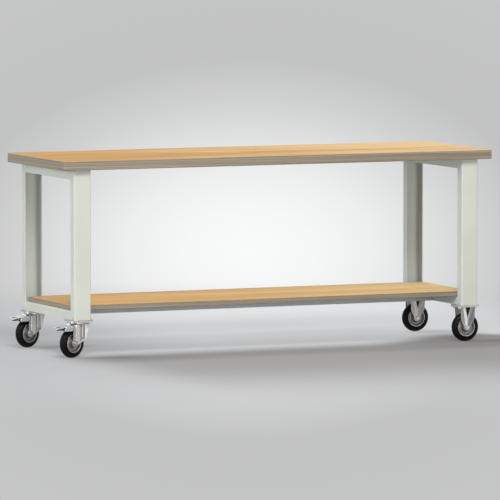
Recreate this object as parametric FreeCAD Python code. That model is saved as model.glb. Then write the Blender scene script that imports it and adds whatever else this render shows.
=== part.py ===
"""Mobile assembly table on four casters.

A thick multiplex worktop lies on two side frames of folded sheet steel. Each side frame has two
channel legs, a top beam and a bottom beam. A shelf board lies on the bottom beams and on a rail
between them. The two casters on the left swivel and have foot brakes. The two on the right are fixed.

Lengths are millimetres. +X runs along the bench to the right, +Y to the back and +Z up. The origin
is on the floor, under the middle of the worktop.
"""
import FreeCAD
import Part
import math
import os

# Worktop and shelf
worktop_length = 2000.0
worktop_depth = 650.0
worktop_thickness = 40.0
worktop_chamfer = 2.0
bench_height = 837.0
shelf_thickness = 22.0
shelf_chamfer = 1.0
shelf_end_setback = 10.0
shelf_flange_gap = 5.0

# Side frames
end_overhang = 55.0
side_overhang = 25.0
leg_width = 76.0
leg_flange_depth = 44.0
frame_sheet = 3.0
frame_bend_radius = 2.5
top_beam_height = 42.0
bottom_beam_height = 38.0

# Rail under the shelf
rail_width = 30.0
rail_sheet = 2.0
rail_plate_thickness = 4.0
rail_plate_width = 70.0
rail_plate_edge_gap = 3.0
rail_bolt_spacing = 50.0
rail_bolt_radius = 3.0
rail_bolt_length = 14.0
rail_bolt_flats = 10.0
rail_bolt_head = 4.0

# Wood screws
screw_radius = 2.5
screw_head_radius = 5.5
screw_head_height = 3.0
screw_gap = 0.1
worktop_screw_depth = 26.0
worktop_screw_count = 4
shelf_screw_depth = 14.0
shelf_screw_count = 3
screw_end_inset = 50.0

# Foot brackets under the legs
foot_plate_length = 100.0
foot_plate_depth = 85.0
foot_plate_thickness = 5.0
foot_plate_corner = 8.0
foot_lug_thickness = 5.0
foot_lug_depth = 32.0
foot_lug_height = 24.0
foot_lug_gap = 0.4
caster_inset = 47.0
side_bolt_inset = 18.0
side_bolt_rise = 6.5
side_bolt_radius = 3.0
side_bolt_gap = 0.25
side_bolt_flats = 10.0
side_bolt_head = 4.0
side_nut_height = 5.0
side_bolt_overrun = 2.0

# Caster plates
caster_headroom = 30.0
caster_plate_thickness = 3.5
plate_bolt_spacing_long = 80.0
plate_bolt_spacing_short = 60.0
plate_bolt_radius = 4.0
plate_bolt_gap = 0.25
plate_bolt_flats = 13.0
plate_bolt_head = 5.3

# Wheels
wheel_radius = 62.5
tyre_width = 36.0
tyre_depth = 23.0
tyre_round = 17.5
tyre_wall_round = 1.5
tyre_seat_width = 30.0
rim_barrel = 3.0
rim_lip = 1.5
rim_lip_round = 1.0
rim_web = 11.0
rim_web_round = 3.0
hub_radius = 16.0
hub_length = 44.0
hub_chamfer = 1.0
bearing_radius = 10.0
bearing_length = 40.0
sleeve_radius = 6.0
bearing_running_gap = 0.05
axle_radius = 4.0
axle_gap = 0.1
axle_flats = 13.0
axle_head = 5.3
axle_nut_height = 8.0
axle_overrun = 2.5

# Forks
fork_gap = 46.0
fork_sheet = 3.0
fork_bend_radius = 3.0
fork_foot_radius = 13.0
rib_height = 3.0
band_end_round = 0.98
fork_edge = 1.0
rib_head_gap = 1.0

# Fixed forks
fixed_fork_width = 64.0
fixed_fork_top_gap = 68.0
fixed_fork_knee_rise = 17.5
fixed_fork_shoulder_rise = 33.5
fixed_fork_shoulder_round = 8.0
fixed_dent_width = 30.0
fixed_dent_top = 2.0
fixed_dent_drop = 42.0
fixed_dent_round = 3.0
fixed_dent_foot_round = 2.0
fixed_dent_depth = 1.8
fixed_rib_width = 11.0
fixed_rib_gap = 0.5
fixed_rib_foot_rise = 19.5

# Swivel forks
swivel_offset = 40.0
swivel_heading = 20.0
crown_drop = 9.5
crown_radius = 35.0
fork_lead = 38.0
fork_lead_knee = 14.0
fork_lead_knee_rise = 14.0
fork_lead_knee_round = 8.0
fork_trail_top = 43.0
fork_trail = 50.0
fork_trail_drop = 22.0
fork_trail_round = 6.0
fork_ear_out = 67.0
fork_ear_bottom_drop = 34.0
fork_ear_top_drop = 19.0
fork_ear_round = 5.0
trail_rib_out = 28.0
trail_rib_width = 29.0
trail_rib_top_drop = 26.0
trail_rib_foot_rise = 14.0
middle_rib_out = 2.5
middle_rib_width = 7.0
middle_rib_top_drop = 14.5
middle_rib_foot_rise = 26.0
lead_panel_in = 12.0
lead_panel_top_drop = 12.0
lead_panel_round = 1.5
lead_rib_width = 9.0

# Swivel heads
race_radius = 30.0
race_drop = 2.5
ball_radius = 3.0
ball_circle_radius = 24.0
ball_count = 20
ball_running_gap = 0.3
collar_gap = 1.5
collar_height = 5.0
kingpin_radius = 6.0
kingpin_head_radius = 10.0
kingpin_gap = 0.5
lower_race_radius = 18.0
lower_race_height = 4.0
lower_race_gap = 0.3
kingpin_nut_flats = 19.0
kingpin_nut_height = 7.0
kingpin_overrun = 1.0

# Brake pedals
pedal_pivot_out = 60.0
pedal_pivot_drop = 25.0
pedal_pin_radius = 3.0
pedal_running_gap = 0.05
pedal_sheet = 2.5
pedal_side_gap = 0.5
pedal_inner_end = 56.5
pedal_inner_drop = 14.5
pedal_bend_out = 94.0
pedal_bend_drop = 20.0
pedal_bend_radius = 0.5
pedal_cheek_drop = 38.5
pedal_cheek_out = 107.0
pedal_cheek_round = 4.0
pedal_tab_width = 24.0
pedal_tab_drop = 9.7
pedal_tab_round = 0.8
pedal_tab_lean = 1.0
finger_width = 15.0
finger_split = 10.0
finger_thickness = 4.5
finger_tip_flat = 1.0
far_finger_out = 131.0
far_finger_drop = 19.0
near_finger_out = 140.0
near_finger_drop = 24.5
shoe_thickness = 4.0
shoe_width = 26.0
shoe_gap = 0.5
shoe_start_angle = 55.0
shoe_end_angle = 68.0
pin_head_radius = 5.0
pin_head_height = 1.5

# Places worked out from the sizes above
axle_height = wheel_radius
rim_radius = wheel_radius - tyre_depth
caster_height = 2.0 * wheel_radius + caster_headroom
leg_top = bench_height - worktop_thickness
leg_bottom = caster_height + foot_plate_thickness
frame_depth = worktop_depth - 2.0 * side_overhang
leg_outer_x = worktop_length / 2.0 - end_overhang
leg_center_x = leg_outer_x - leg_width / 2.0
leg_inner_x = leg_outer_x - leg_width
leg_face_y = frame_depth / 2.0
flange_edge_y = leg_face_y - leg_flange_depth
beam_length = 2.0 * flange_edge_y
shelf_bottom = leg_bottom + bottom_beam_height
shelf_depth = beam_length - 2.0 * shelf_flange_gap
shelf_length = 2.0 * (leg_outer_x - shelf_end_setback)
caster_y = leg_face_y - caster_inset
plate_bottom = caster_height - caster_plate_thickness
crown_top = caster_height - crown_drop
crown_bottom = crown_top - fork_sheet
fork_outer = fork_gap / 2.0 + fork_sheet
fixed_fork_knee_height = axle_height + fixed_fork_knee_rise
fixed_fork_shoulder_height = axle_height + fixed_fork_shoulder_rise
fixed_rib_foot = axle_height + fixed_rib_foot_rise
fork_lead_knee_height = axle_height + fork_lead_knee_rise
fork_trail_height = caster_height - fork_trail_drop
fork_ear_bottom = caster_height - fork_ear_bottom_drop
fork_ear_top = caster_height - fork_ear_top_drop
trail_rib_top = caster_height - trail_rib_top_drop
trail_rib_foot = axle_height + trail_rib_foot_rise
middle_rib_top = caster_height - middle_rib_top_drop
middle_rib_foot = axle_height + middle_rib_foot_rise
lead_panel_top = caster_height - lead_panel_top_drop
pedal_pivot_height = caster_height - pedal_pivot_drop
pedal_inner_height = caster_height - pedal_inner_drop
pedal_bend_height = caster_height - pedal_bend_drop
pedal_cheek_bottom = caster_height - pedal_cheek_drop
pedal_tab_height = caster_height - pedal_tab_drop
far_finger_height = caster_height - far_finger_drop
near_finger_height = caster_height - near_finger_drop


def rounded_wire(corners, place):
    """Closed wire through corners of (a, b, radius), each corner rounded by a tangent arc."""
    count = len(corners)
    starts = []
    ends = []
    middles = []
    for index in range(count):
        before = corners[index - 1]
        here = corners[index]
        after = corners[(index + 1) % count]
        to_before = FreeCAD.Vector(before[0] - here[0], before[1] - here[1], 0)
        to_after = FreeCAD.Vector(after[0] - here[0], after[1] - here[1], 0)
        point = FreeCAD.Vector(here[0], here[1], 0)
        if here[2] <= 0:
            starts.append(point)
            ends.append(point)
            middles.append(None)
            continue
        half_angle = to_before.getAngle(to_after) / 2.0
        cut_back = here[2] / math.tan(half_angle)
        to_before.normalize()
        to_after.normalize()
        bisector = to_before + to_after
        bisector.normalize()
        center = point + bisector * (here[2] / math.sin(half_angle))
        starts.append(point + to_before * cut_back)
        ends.append(point + to_after * cut_back)
        middles.append(center - bisector * here[2])
    edges = []
    for index in range(count):
        if middles[index] is not None:
            arc_points = [place(p) for p in (starts[index], middles[index], ends[index])]
            edges.append(Part.Arc(*arc_points).toShape())
        leave = ends[index]
        arrive = starts[(index + 1) % count]
        if leave.distanceToPoint(arrive) > 1e-6:
            edges.append(Part.LineSegment(place(leave), place(arrive)).toShape())
    return Part.Wire(edges)


def prism(corners, axis, start, end):
    """Outline of (a, b, radius) corners extruded along x, y or z from start to end.

    The outline lies in the two other directions, taken in the order x, y, z.
    """
    def place(point):
        if axis == "x":
            return FreeCAD.Vector(start, point.x, point.y)
        if axis == "y":
            return FreeCAD.Vector(point.x, start, point.y)
        return FreeCAD.Vector(point.x, point.y, start)

    travel = {"x": (end - start, 0, 0), "y": (0, end - start, 0), "z": (0, 0, end - start)}[axis]
    face = Part.Face(rounded_wire(corners, place))
    return face.extrude(FreeCAD.Vector(*travel))


def sheet_outline(path, thickness, inner_radius):
    """Outline of a bent sheet whose one face follows the path and whose body lies to its left."""
    directions = []
    for here, after in zip(path, path[1:]):
        direction = FreeCAD.Vector(after[0] - here[0], after[1] - here[1], 0)
        direction.normalize()
        directions.append(direction)
    first = directions[0]
    last = directions[-1]
    near = [(path[0][0], path[0][1], 0.0)]
    far = [(path[0][0] - first.y * thickness, path[0][1] + first.x * thickness, 0.0)]
    for point, into, out in zip(path[1:], directions, directions[1:]):
        normal_in = FreeCAD.Vector(-into.y, into.x, 0)
        normal_out = FreeCAD.Vector(-out.y, out.x, 0)
        shift = (normal_in + normal_out) * (thickness / (1.0 + normal_in.dot(normal_out)))
        turns_left = into.cross(out).z > 0
        near_radius = inner_radius + thickness if turns_left else inner_radius
        far_radius = inner_radius if turns_left else inner_radius + thickness
        near.append((point[0], point[1], near_radius))
        far.append((point[0] + shift.x, point[1] + shift.y, far_radius))
    near.append((path[-1][0], path[-1][1], 0.0))
    far.append((path[-1][0] - last.y * thickness, path[-1][1] + last.x * thickness, 0.0))
    return near + far[::-1]


def cylinder(radius, length, center, direction=(0, 0, 1)):
    """Cylinder that starts at center and runs along direction."""
    return Part.makeCylinder(radius, length, FreeCAD.Vector(*center), FreeCAD.Vector(*direction))


def block(low, high):
    """Box between two corners."""
    size = [high[i] - low[i] for i in range(3)]
    return Part.makeBox(size[0], size[1], size[2], FreeCAD.Vector(*low))


def hexagon(flats, height):
    """Hexagonal prism that stands on the XY plane, with its upper corners bevelled."""
    corner_radius = flats / math.sqrt(3.0)
    corners = []
    for i in range(6):
        angle = math.radians(60.0 * i)
        corners.append((corner_radius * math.cos(angle), corner_radius * math.sin(angle), 0.0))
    cone_height = 2.0 * height
    cone = Part.makeCone(flats / 2.0 + cone_height, flats / 2.0, cone_height)
    cone.translate(FreeCAD.Vector(0, 0, height - cone_height + (corner_radius - flats / 2.0) / 3.0))
    return prism(corners, "z", 0.0, height).common(cone)


def across(corners, half_width):
    """Side view of a caster's piece, extruded evenly to both sides of the wheel's plane."""
    return prism(corners, "y", -half_width, half_width)


def tangent_point(start, center, radius):
    """Where the lower tangent from a start point touches a circle that lies ahead of it."""
    ahead = center[0] - start[0]
    below = start[1] - center[1]
    distance = math.hypot(ahead, below)
    slope = math.atan2(below, ahead) + math.asin(radius / distance)
    reach = math.sqrt(distance ** 2 - radius ** 2)
    return (start[0] + reach * math.cos(slope), start[1] - reach * math.sin(slope))


def aim(shape, direction, point):
    """Turn a shape's +Z to a direction, and move its origin to a point."""
    turned = shape.copy()
    rotation = FreeCAD.Rotation(FreeCAD.Vector(0, 0, 1), FreeCAD.Vector(*direction))
    turned.Placement = FreeCAD.Placement(FreeCAD.Vector(*point), rotation)
    return turned


def hexagon_bolt(radius, length, flats, head):
    """Bolt with the underside of its head at z = 0, its head above and its shaft below."""
    shaft = cylinder(radius, length, (0, 0, -length))
    return hexagon(flats, head).fuse(shaft).removeSplitter()


def hexagon_nut(radius, flats, height):
    """Nut that stands on the XY plane around a shaft of the given radius."""
    return hexagon(flats, height).cut(cylinder(radius, height, (0, 0, 0)))


def revolve_about_axle(profile):
    """Closed profile of (radius, across, corner radius) revolved about the line across the caster."""
    wire = rounded_wire(profile, lambda p: FreeCAD.Vector(p.x, p.y, 0))
    return Part.Face(wire).revolve(FreeCAD.Vector(0, 0, 0), FreeCAD.Vector(0, 1, 0), 360.0)


def channel_leg():
    """Left front leg: a channel whose web faces the front and whose flanges point inwards."""
    path = [
        (leg_width / 2.0, leg_flange_depth),
        (leg_width / 2.0, 0.0),
        (-leg_width / 2.0, 0.0),
        (-leg_width / 2.0, leg_flange_depth),
    ]
    corners = sheet_outline(path[::-1], frame_sheet, frame_bend_radius)
    leg = prism(corners, "z", leg_bottom, leg_top)
    leg.translate(FreeCAD.Vector(-leg_center_x, -leg_face_y, 0))
    return leg.cut(side_bolt_bore(side_bolt_gap))


def side_bolt_bore(gap):
    """Space of the bolt that crosses the left front leg, with a gap all round."""
    reach = leg_width / 2.0 + side_bolt_head
    start = (-leg_center_x - reach, -leg_face_y + side_bolt_inset, leg_bottom + side_bolt_rise)
    return cylinder(side_bolt_radius + gap, 2.0 * reach, start, (1, 0, 0))


def right_copy(shape):
    """A left shape mirrored to the right end of the bench."""
    return shape.mirror(FreeCAD.Vector(0, 0, 0), FreeCAD.Vector(1, 0, 0))


def back_copy(shape):
    """A front shape mirrored to the back of the bench."""
    return shape.mirror(FreeCAD.Vector(0, 0, 0), FreeCAD.Vector(0, 1, 0))


def corner_copies(shape):
    """A left front shape mirrored to the four corners of the bench."""
    return {
        "left_front": shape,
        "left_back": back_copy(shape),
        "right_front": right_copy(shape),
        "right_back": right_copy(back_copy(shape)),
    }


def beam(height, top, screw_places):
    """Left beam: a channel with its web on top, with holes for the screws through its web."""
    path = [
        (-leg_outer_x, top - height),
        (-leg_outer_x, top),
        (-leg_inner_x, top),
        (-leg_inner_x, top - height),
    ]
    corners = sheet_outline(path[::-1], frame_sheet, frame_bend_radius)
    body = prism(corners, "y", -flange_edge_y, flange_edge_y)
    for y in screw_places:
        hole = cylinder(screw_radius + screw_gap, frame_sheet, (-leg_center_x, y, top - frame_sheet))
        body = body.cut(hole)
    return body


def spaced(count, reach):
    """Evenly spaced places from -reach to reach."""
    return [reach * (2.0 * i / (count - 1.0) - 1.0) for i in range(count)]


def screw_line(count):
    """Places of the screws along a beam."""
    return spaced(count, flange_edge_y - screw_end_inset)


def wood_screw(depth, x, y, surface):
    """Pan head screw, driven up through a beam's web into the board that lies on the surface."""
    head_top = surface - frame_sheet
    head = cylinder(screw_head_radius, screw_head_height, (x, y, head_top - screw_head_height))
    shaft = cylinder(screw_radius, depth + frame_sheet, (x, y, head_top))
    return head.fuse(shaft)


def board(length, depth, bottom, thickness, chamfer, screw_places, screw_depth):
    """Board with chamfered edges and blind holes for the screws at both ends."""
    low = (-length / 2.0, -depth / 2.0, bottom)
    high = (length / 2.0, depth / 2.0, bottom + thickness)
    slab = block(low, high)
    slab = slab.makeChamfer(chamfer, slab.Edges)
    for x in (-leg_center_x, leg_center_x):
        for y in screw_places:
            slab = slab.cut(cylinder(screw_radius + screw_gap, screw_depth + screw_gap, (x, y, bottom)))
    return slab


def centre_rail():
    """Channel under the shelf, as a web and two flanges, with a bolted plate at each end."""
    end_x = leg_inner_x - rail_plate_thickness
    half = rail_width / 2.0
    path = [(-half, leg_bottom), (-half, shelf_bottom), (half, shelf_bottom), (half, leg_bottom)]
    channel = prism(sheet_outline(path[::-1], rail_sheet, 0.0), "x", -end_x, end_x)
    web_room = block((-end_x, -half, shelf_bottom - rail_sheet), (end_x, half, shelf_bottom))
    return [channel.common(web_room)] + channel.cut(web_room).Solids + rail_plates()


def rail_plates():
    """The two plates that stand across the ends of the rail, with their bolt holes."""
    half = rail_plate_width / 2.0
    low = leg_bottom + rail_plate_edge_gap
    height = shelf_bottom - leg_bottom - 2.0 * rail_plate_edge_gap
    plates = []
    for start in (-leg_inner_x, leg_inner_x - rail_plate_thickness):
        plate = block((start, -half, low), (start + rail_plate_thickness, half, low + height))
        for hole in rail_bolt_places(rail_bolt_radius, rail_bolt_length):
            plate = plate.cut(hole)
        plates.append(plate)
    return plates


def rail_bolt_points():
    """Start and direction of each rail bolt, at the face of its end plate."""
    end_x = leg_inner_x - rail_plate_thickness
    height = (leg_bottom + shelf_bottom) / 2.0
    half = rail_bolt_spacing / 2.0
    return [((side * end_x, y, height), (-side, 0, 0)) for side in (-1.0, 1.0) for y in (-half, half)]


def rail_bolt_places(radius, length):
    """Cylinders along the shafts of the rail bolts."""
    return [
        cylinder(radius, length, point, (-direction[0], 0, 0))
        for point, direction in rail_bolt_points()
    ]


def rail_bolts():
    """Four bolts through the rail's end plates into the bottom beams."""
    bolt = hexagon_bolt(rail_bolt_radius, rail_bolt_length, rail_bolt_flats, rail_bolt_head)
    return [aim(bolt, direction, point) for point, direction in rail_bolt_points()]


def foot_bracket():
    """Left front foot: a plate under the leg, with two lugs that stand up inside the leg."""
    half_length = foot_plate_length / 2.0
    half_depth = foot_plate_depth / 2.0
    corners = [
        (-half_length, -half_depth, foot_plate_corner),
        (half_length, -half_depth, foot_plate_corner),
        (half_length, half_depth, foot_plate_corner),
        (-half_length, half_depth, foot_plate_corner),
    ]
    foot = prism(corners, "z", caster_height, leg_bottom)
    for x, y in plate_bolt_points():
        foot = foot.cut(cylinder(plate_bolt_radius, foot_plate_thickness, (x, y, caster_height)))
    foot.translate(FreeCAD.Vector(-leg_center_x, -caster_y, 0))
    lug_front = -leg_face_y + frame_sheet + frame_bend_radius
    lug_outer = leg_width / 2.0 - frame_sheet - foot_lug_gap
    for side in (-1.0, 1.0):
        edges = sorted([side * lug_outer, side * (lug_outer - foot_lug_thickness)])
        low = (-leg_center_x + edges[0], lug_front, leg_bottom)
        high = (-leg_center_x + edges[1], lug_front + foot_lug_depth, leg_bottom + foot_lug_height)
        foot = foot.fuse(block(low, high))
    return foot.cut(side_bolt_bore(side_bolt_gap)).removeSplitter()


def side_bolt():
    """Bolt across the left front leg, with its head on the outer flange."""
    length = leg_width + side_nut_height + side_bolt_overrun
    bolt = hexagon_bolt(side_bolt_radius, length, side_bolt_flats, side_bolt_head)
    point = (-leg_outer_x, -leg_face_y + side_bolt_inset, leg_bottom + side_bolt_rise)
    return aim(bolt, (-1, 0, 0), point)


def side_nut():
    """Nut of the side bolt, on the leg's inner flange."""
    nut = hexagon_nut(side_bolt_radius, side_bolt_flats, side_nut_height)
    point = (-leg_inner_x, -leg_face_y + side_bolt_inset, leg_bottom + side_bolt_rise)
    return aim(nut, (1, 0, 0), point)


def plate_bolt_points():
    """Places of the four bolts in a caster's plate, about its middle."""
    half_long = plate_bolt_spacing_long / 2.0
    half_short = plate_bolt_spacing_short / 2.0
    return [(x, y) for x in (-half_long, half_long) for y in (-half_short, half_short)]


def plate_bolts():
    """Four bolts that hold a caster's plate to the foot bracket above it."""
    length = caster_plate_thickness + foot_plate_thickness
    bolt = hexagon_bolt(plate_bolt_radius, length, plate_bolt_flats, plate_bolt_head)
    return [aim(bolt, (0, 0, -1), (x, y, plate_bottom)) for x, y in plate_bolt_points()]


def flat_caster_plate():
    """Caster plate with its four bolt holes, about the caster's middle."""
    half_length = foot_plate_length / 2.0
    half_depth = foot_plate_depth / 2.0
    corners = [
        (-half_length, -half_depth, foot_plate_corner),
        (half_length, -half_depth, foot_plate_corner),
        (half_length, half_depth, foot_plate_corner),
        (-half_length, half_depth, foot_plate_corner),
    ]
    plate = prism(corners, "z", plate_bottom, caster_height)
    for x, y in plate_bolt_points():
        hole = cylinder(plate_bolt_radius + plate_bolt_gap, caster_plate_thickness, (x, y, plate_bottom))
        plate = plate.cut(hole)
    return plate


def kingpin_sink():
    """Conical seat of the kingpin's head in the swivel caster's plate."""
    cone = Part.makeCone(kingpin_radius, kingpin_head_radius, caster_plate_thickness)
    cone.translate(FreeCAD.Vector(0, 0, plate_bottom))
    return cone


def swivel_plate():
    """Plate of a swivel caster, with the upper race pressed down from it."""
    race_bottom = plate_bottom - race_drop
    race = cylinder(race_radius, race_drop, (0, 0, race_bottom))
    groove = Part.makeTorus(ball_circle_radius, ball_radius + ball_running_gap)
    groove.translate(FreeCAD.Vector(0, 0, crown_top + ball_radius))
    plate = flat_caster_plate().fuse(race).cut(groove)
    plate = plate.cut(cylinder(kingpin_radius, race_drop, (0, 0, race_bottom)))
    return plate.cut(kingpin_sink()).removeSplitter()


def lower_race_top():
    """Height of the upper face of the lower race."""
    return crown_bottom - lower_race_gap


def kingpin():
    """Countersunk pin through the swivel head."""
    bottom = lower_race_top() - lower_race_height - kingpin_nut_height - kingpin_overrun
    shaft = cylinder(kingpin_radius, plate_bottom - bottom, (0, 0, bottom))
    return shaft.fuse(kingpin_sink()).removeSplitter()


def kingpin_nut():
    """Nut on the kingpin, under the lower race."""
    nut = hexagon_nut(kingpin_radius, kingpin_nut_flats, kingpin_nut_height)
    nut.translate(FreeCAD.Vector(0, 0, lower_race_top() - lower_race_height - kingpin_nut_height))
    return nut


def lower_race():
    """Ring under the fork's crown, around the kingpin."""
    bottom = lower_race_top() - lower_race_height
    ring = cylinder(lower_race_radius, lower_race_height, (0, 0, bottom))
    return ring.cut(cylinder(kingpin_radius, lower_race_height, (0, 0, bottom)))


def race_balls():
    """Balls that lie on the fork's crown under the upper race."""
    balls = []
    for i in range(ball_count):
        angle = 2.0 * math.pi * i / ball_count
        ball = Part.makeSphere(ball_radius)
        place = (ball_circle_radius * math.cos(angle), ball_circle_radius * math.sin(angle))
        ball.translate(FreeCAD.Vector(place[0], place[1], crown_top + ball_radius))
        balls.append(ball)
    return balls


def band(start, end, width):
    """Corners of a band with round ends, centred on two points."""
    along = FreeCAD.Vector(end[0] - start[0], end[1] - start[1], 0)
    along.normalize()
    along = along * (width / 2.0)
    radius = band_end_round * width / 2.0
    return [
        (start[0] - along.x - along.y, start[1] - along.y + along.x, radius),
        (start[0] - along.x + along.y, start[1] - along.y - along.x, radius),
        (end[0] + along.x + along.y, end[1] + along.y - along.x, radius),
        (end[0] + along.x - along.y, end[1] + along.y + along.x, radius),
    ]


def fork_arch(path, reach, thickness, inner_radius):
    """Bent sheet seen along the caster, extruded from -reach to reach along it."""
    return prism(sheet_outline(path, thickness, inner_radius), "x", -reach, reach)


def swivel_arch_path(outward):
    """Path of a swivel fork's outer face, from one foot over the crown to the other."""
    half = fork_outer + outward
    bottom = axle_height - fork_foot_radius
    top = crown_top + outward
    return [(half, bottom), (half, top), (-half, top), (-half, bottom)]


def swivel_lead_points():
    """Knee of a swivel fork's leading edge, and the point where that edge meets the foot."""
    knee = (-fork_lead_knee, fork_lead_knee_height)
    return knee, tangent_point(knee, (swivel_offset, axle_height), fork_foot_radius)


def swivel_leg_outline(inset=0.0):
    """Side view of a swivel fork: wide at the crown, with a round foot about the axle."""
    knee, lead_foot = swivel_lead_points()
    half = fork_outer + rib_height
    leg = across(
        [
            (-fork_lead + inset, crown_top, 0.0),
            (fork_trail_top - inset, crown_top, 0.0),
            (fork_trail - inset, fork_trail_height, fork_trail_round),
            (swivel_offset + fork_foot_radius - inset, axle_height, 0.0),
            (swivel_offset, axle_height, 0.0),
            (lead_foot[0] + inset, lead_foot[1], 0.0),
            (knee[0] + inset, knee[1], fork_lead_knee_round),
        ],
        half,
    )
    foot_start = (swivel_offset, -half, axle_height)
    return leg.fuse(cylinder(fork_foot_radius - inset, 2.0 * half, foot_start, (0, 1, 0)))


def swivel_ribs():
    """Raised bands on the outside of a swivel fork's legs, and the raised panel ahead of them."""
    knee, lead_foot = swivel_lead_points()
    half = fork_outer + rib_height
    edge = lead_rib_width / 2.0
    lead_panel = [
        (-lead_panel_in, lead_panel_top, lead_panel_round),
        (-fork_lead, lead_panel_top, lead_panel_round),
        (-fork_lead, knee[1], 0.0),
        (-lead_panel_in, knee[1], 0.0),
    ]
    bands = [
        band((trail_rib_out, trail_rib_top), (trail_rib_out, trail_rib_foot), trail_rib_width),
        band((middle_rib_out, middle_rib_top), (middle_rib_out, middle_rib_foot), middle_rib_width),
        lead_panel,
        band((knee[0] + edge, knee[1]), (lead_foot[0] + edge, lead_foot[1] + edge), lead_rib_width),
    ]
    raised = fork_arch(swivel_arch_path(rib_height), fork_lead + fork_trail, rib_height, fork_bend_radius)
    ribs = across(bands[0], half)
    for corners in bands[1:]:
        ribs = ribs.fuse(across(corners, half))
    head_radius = axle_flats / math.sqrt(3.0) + rib_head_gap
    head_room = cylinder(head_radius, 2.0 * half, (swivel_offset, -half, axle_height), (0, 1, 0))
    return raised.common(ribs).common(swivel_leg_outline(fork_edge)).cut(head_room)


def fork_ears():
    """Side view of the two ears behind a swivel fork's legs, which carry the pedal's pin."""
    return across(
        [
            (0.0, fork_ear_bottom, 0.0),
            (0.0, fork_ear_top, 0.0),
            (fork_ear_out, fork_ear_top, fork_ear_round),
            (fork_ear_out, fork_ear_bottom, fork_ear_round),
        ],
        fork_outer,
    )


def swivel_fork():
    """Fork of a swivel caster: a bent arch with ribbed legs, a round crown and a collar."""
    outline = swivel_leg_outline().fuse(fork_ears())
    reach = fork_lead + fork_ear_out
    fork = fork_arch(swivel_arch_path(0.0), reach, fork_sheet, fork_bend_radius).common(outline)
    fork = fork.fuse(cylinder(crown_radius, fork_sheet, (0, 0, crown_bottom)))
    fork = fork.fuse(swivel_ribs())
    collar = cylinder(crown_radius, collar_height, (0, 0, crown_top))
    collar = collar.cut(cylinder(race_radius + collar_gap, collar_height, (0, 0, crown_top)))
    fork = fork.fuse(collar)
    fork = fork.cut(cylinder(kingpin_radius + kingpin_gap, fork_sheet, (0, 0, crown_bottom)))
    fork = fork.cut(axle_bore())
    return fork.cut(pedal_pin_bore(0.0)).removeSplitter()


def axle_bore():
    """Hole through both legs of a swivel fork for its axle."""
    width = 2.0 * (fork_outer + rib_height)
    return cylinder(axle_radius + axle_gap, width, (swivel_offset, -width / 2.0, axle_height), (0, 1, 0))


def pedal_pin_bore(gap):
    """Space of the pedal's pin, with a gap all round."""
    half = fork_outer + pedal_side_gap + pedal_sheet
    point = (pedal_pivot_out, -half, pedal_pivot_height)
    return cylinder(pedal_pin_radius + gap, 2.0 * half, point, (0, 1, 0))


def pedal_pin():
    """Riveted pin on which the brake pedal turns."""
    half = fork_outer + pedal_side_gap + pedal_sheet + pedal_side_gap
    shaft = cylinder(pedal_pin_radius, 2.0 * half, (pedal_pivot_out, -half, pedal_pivot_height), (0, 1, 0))
    for side in (-1.0, 1.0):
        point = (pedal_pivot_out, side * half, pedal_pivot_height)
        shaft = shaft.fuse(cylinder(pin_head_radius, pin_head_height, point, (0, side, 0)))
    return shaft.removeSplitter()


def pedal_outline(end, thickness, width, middle):
    """Strip of the pedal's sheet from its inner end over the bend to an outer end."""
    path = [end, (pedal_bend_out, pedal_bend_height), (pedal_inner_end, pedal_inner_height)]
    corners = sheet_outline(path, thickness, pedal_bend_radius)
    return prism(corners, "y", middle - width / 2.0, middle + width / 2.0)


def pedal_finger(side, out, height):
    """One of the two fingers to tread on, with a round tip."""
    middle = side * (finger_split + finger_width) / 2.0
    round_tip = (finger_width - finger_tip_flat) / 2.0
    plan = [
        (pedal_inner_end + pedal_sheet, middle - finger_width / 2.0, 0.0),
        (out, middle - finger_width / 2.0, round_tip),
        (out, middle + finger_width / 2.0, round_tip),
        (pedal_inner_end + pedal_sheet, middle + finger_width / 2.0, 0.0),
    ]
    strip = pedal_outline((out, height), finger_thickness, finger_width, middle)
    return strip.common(prism(plan, "z", pedal_cheek_bottom, caster_height))


def pedal_cover_under(out):
    """Height of the underside of the pedal's sheet at a distance out from the kingpin."""
    slope = (pedal_inner_height - pedal_bend_height) / (pedal_bend_out - pedal_inner_end)
    return pedal_inner_height - slope * (out - pedal_inner_end) - pedal_sheet * math.hypot(1.0, slope)


def pedal():
    """Brake pedal: a sheet over the wheel with two cheeks, an upright tab and two fingers."""
    outer = fork_outer + pedal_side_gap + pedal_sheet
    inner = outer - pedal_sheet
    top_path = [(pedal_bend_out, pedal_bend_height), (pedal_inner_end, pedal_inner_height)]
    cover = across(sheet_outline(top_path, pedal_sheet, 0.0), outer)
    cheek = across(
        [
            (pedal_inner_end, pedal_inner_height, 0.0),
            (pedal_inner_end, pedal_cheek_bottom, pedal_cheek_round),
            (pedal_cheek_out, pedal_cheek_bottom, pedal_cheek_round),
            (pedal_bend_out, pedal_bend_height, 0.0),
        ],
        outer,
    )
    hollow = block(
        (pedal_inner_end - pedal_sheet, -inner, pedal_cheek_bottom - pedal_sheet),
        (pedal_cheek_out + pedal_sheet, inner, pedal_inner_height),
    )
    body = cover.fuse(cheek.cut(hollow))
    tab = across(
        [
            (pedal_inner_end, pedal_inner_height - pedal_sheet / 2.0, 0.0),
            (pedal_inner_end + pedal_sheet, pedal_inner_height - pedal_sheet / 2.0, 0.0),
            (pedal_inner_end + pedal_sheet - pedal_tab_lean, pedal_tab_height, pedal_tab_round),
            (pedal_inner_end - pedal_tab_lean, pedal_tab_height, pedal_tab_round),
        ],
        pedal_tab_width / 2.0,
    )
    body = body.fuse(tab)
    body = body.fuse(pedal_finger(-1.0, far_finger_out, far_finger_height))
    body = body.fuse(pedal_finger(1.0, near_finger_out, near_finger_height))
    return body.cut(pedal_pin_bore(pedal_running_gap)).removeSplitter()


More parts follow.
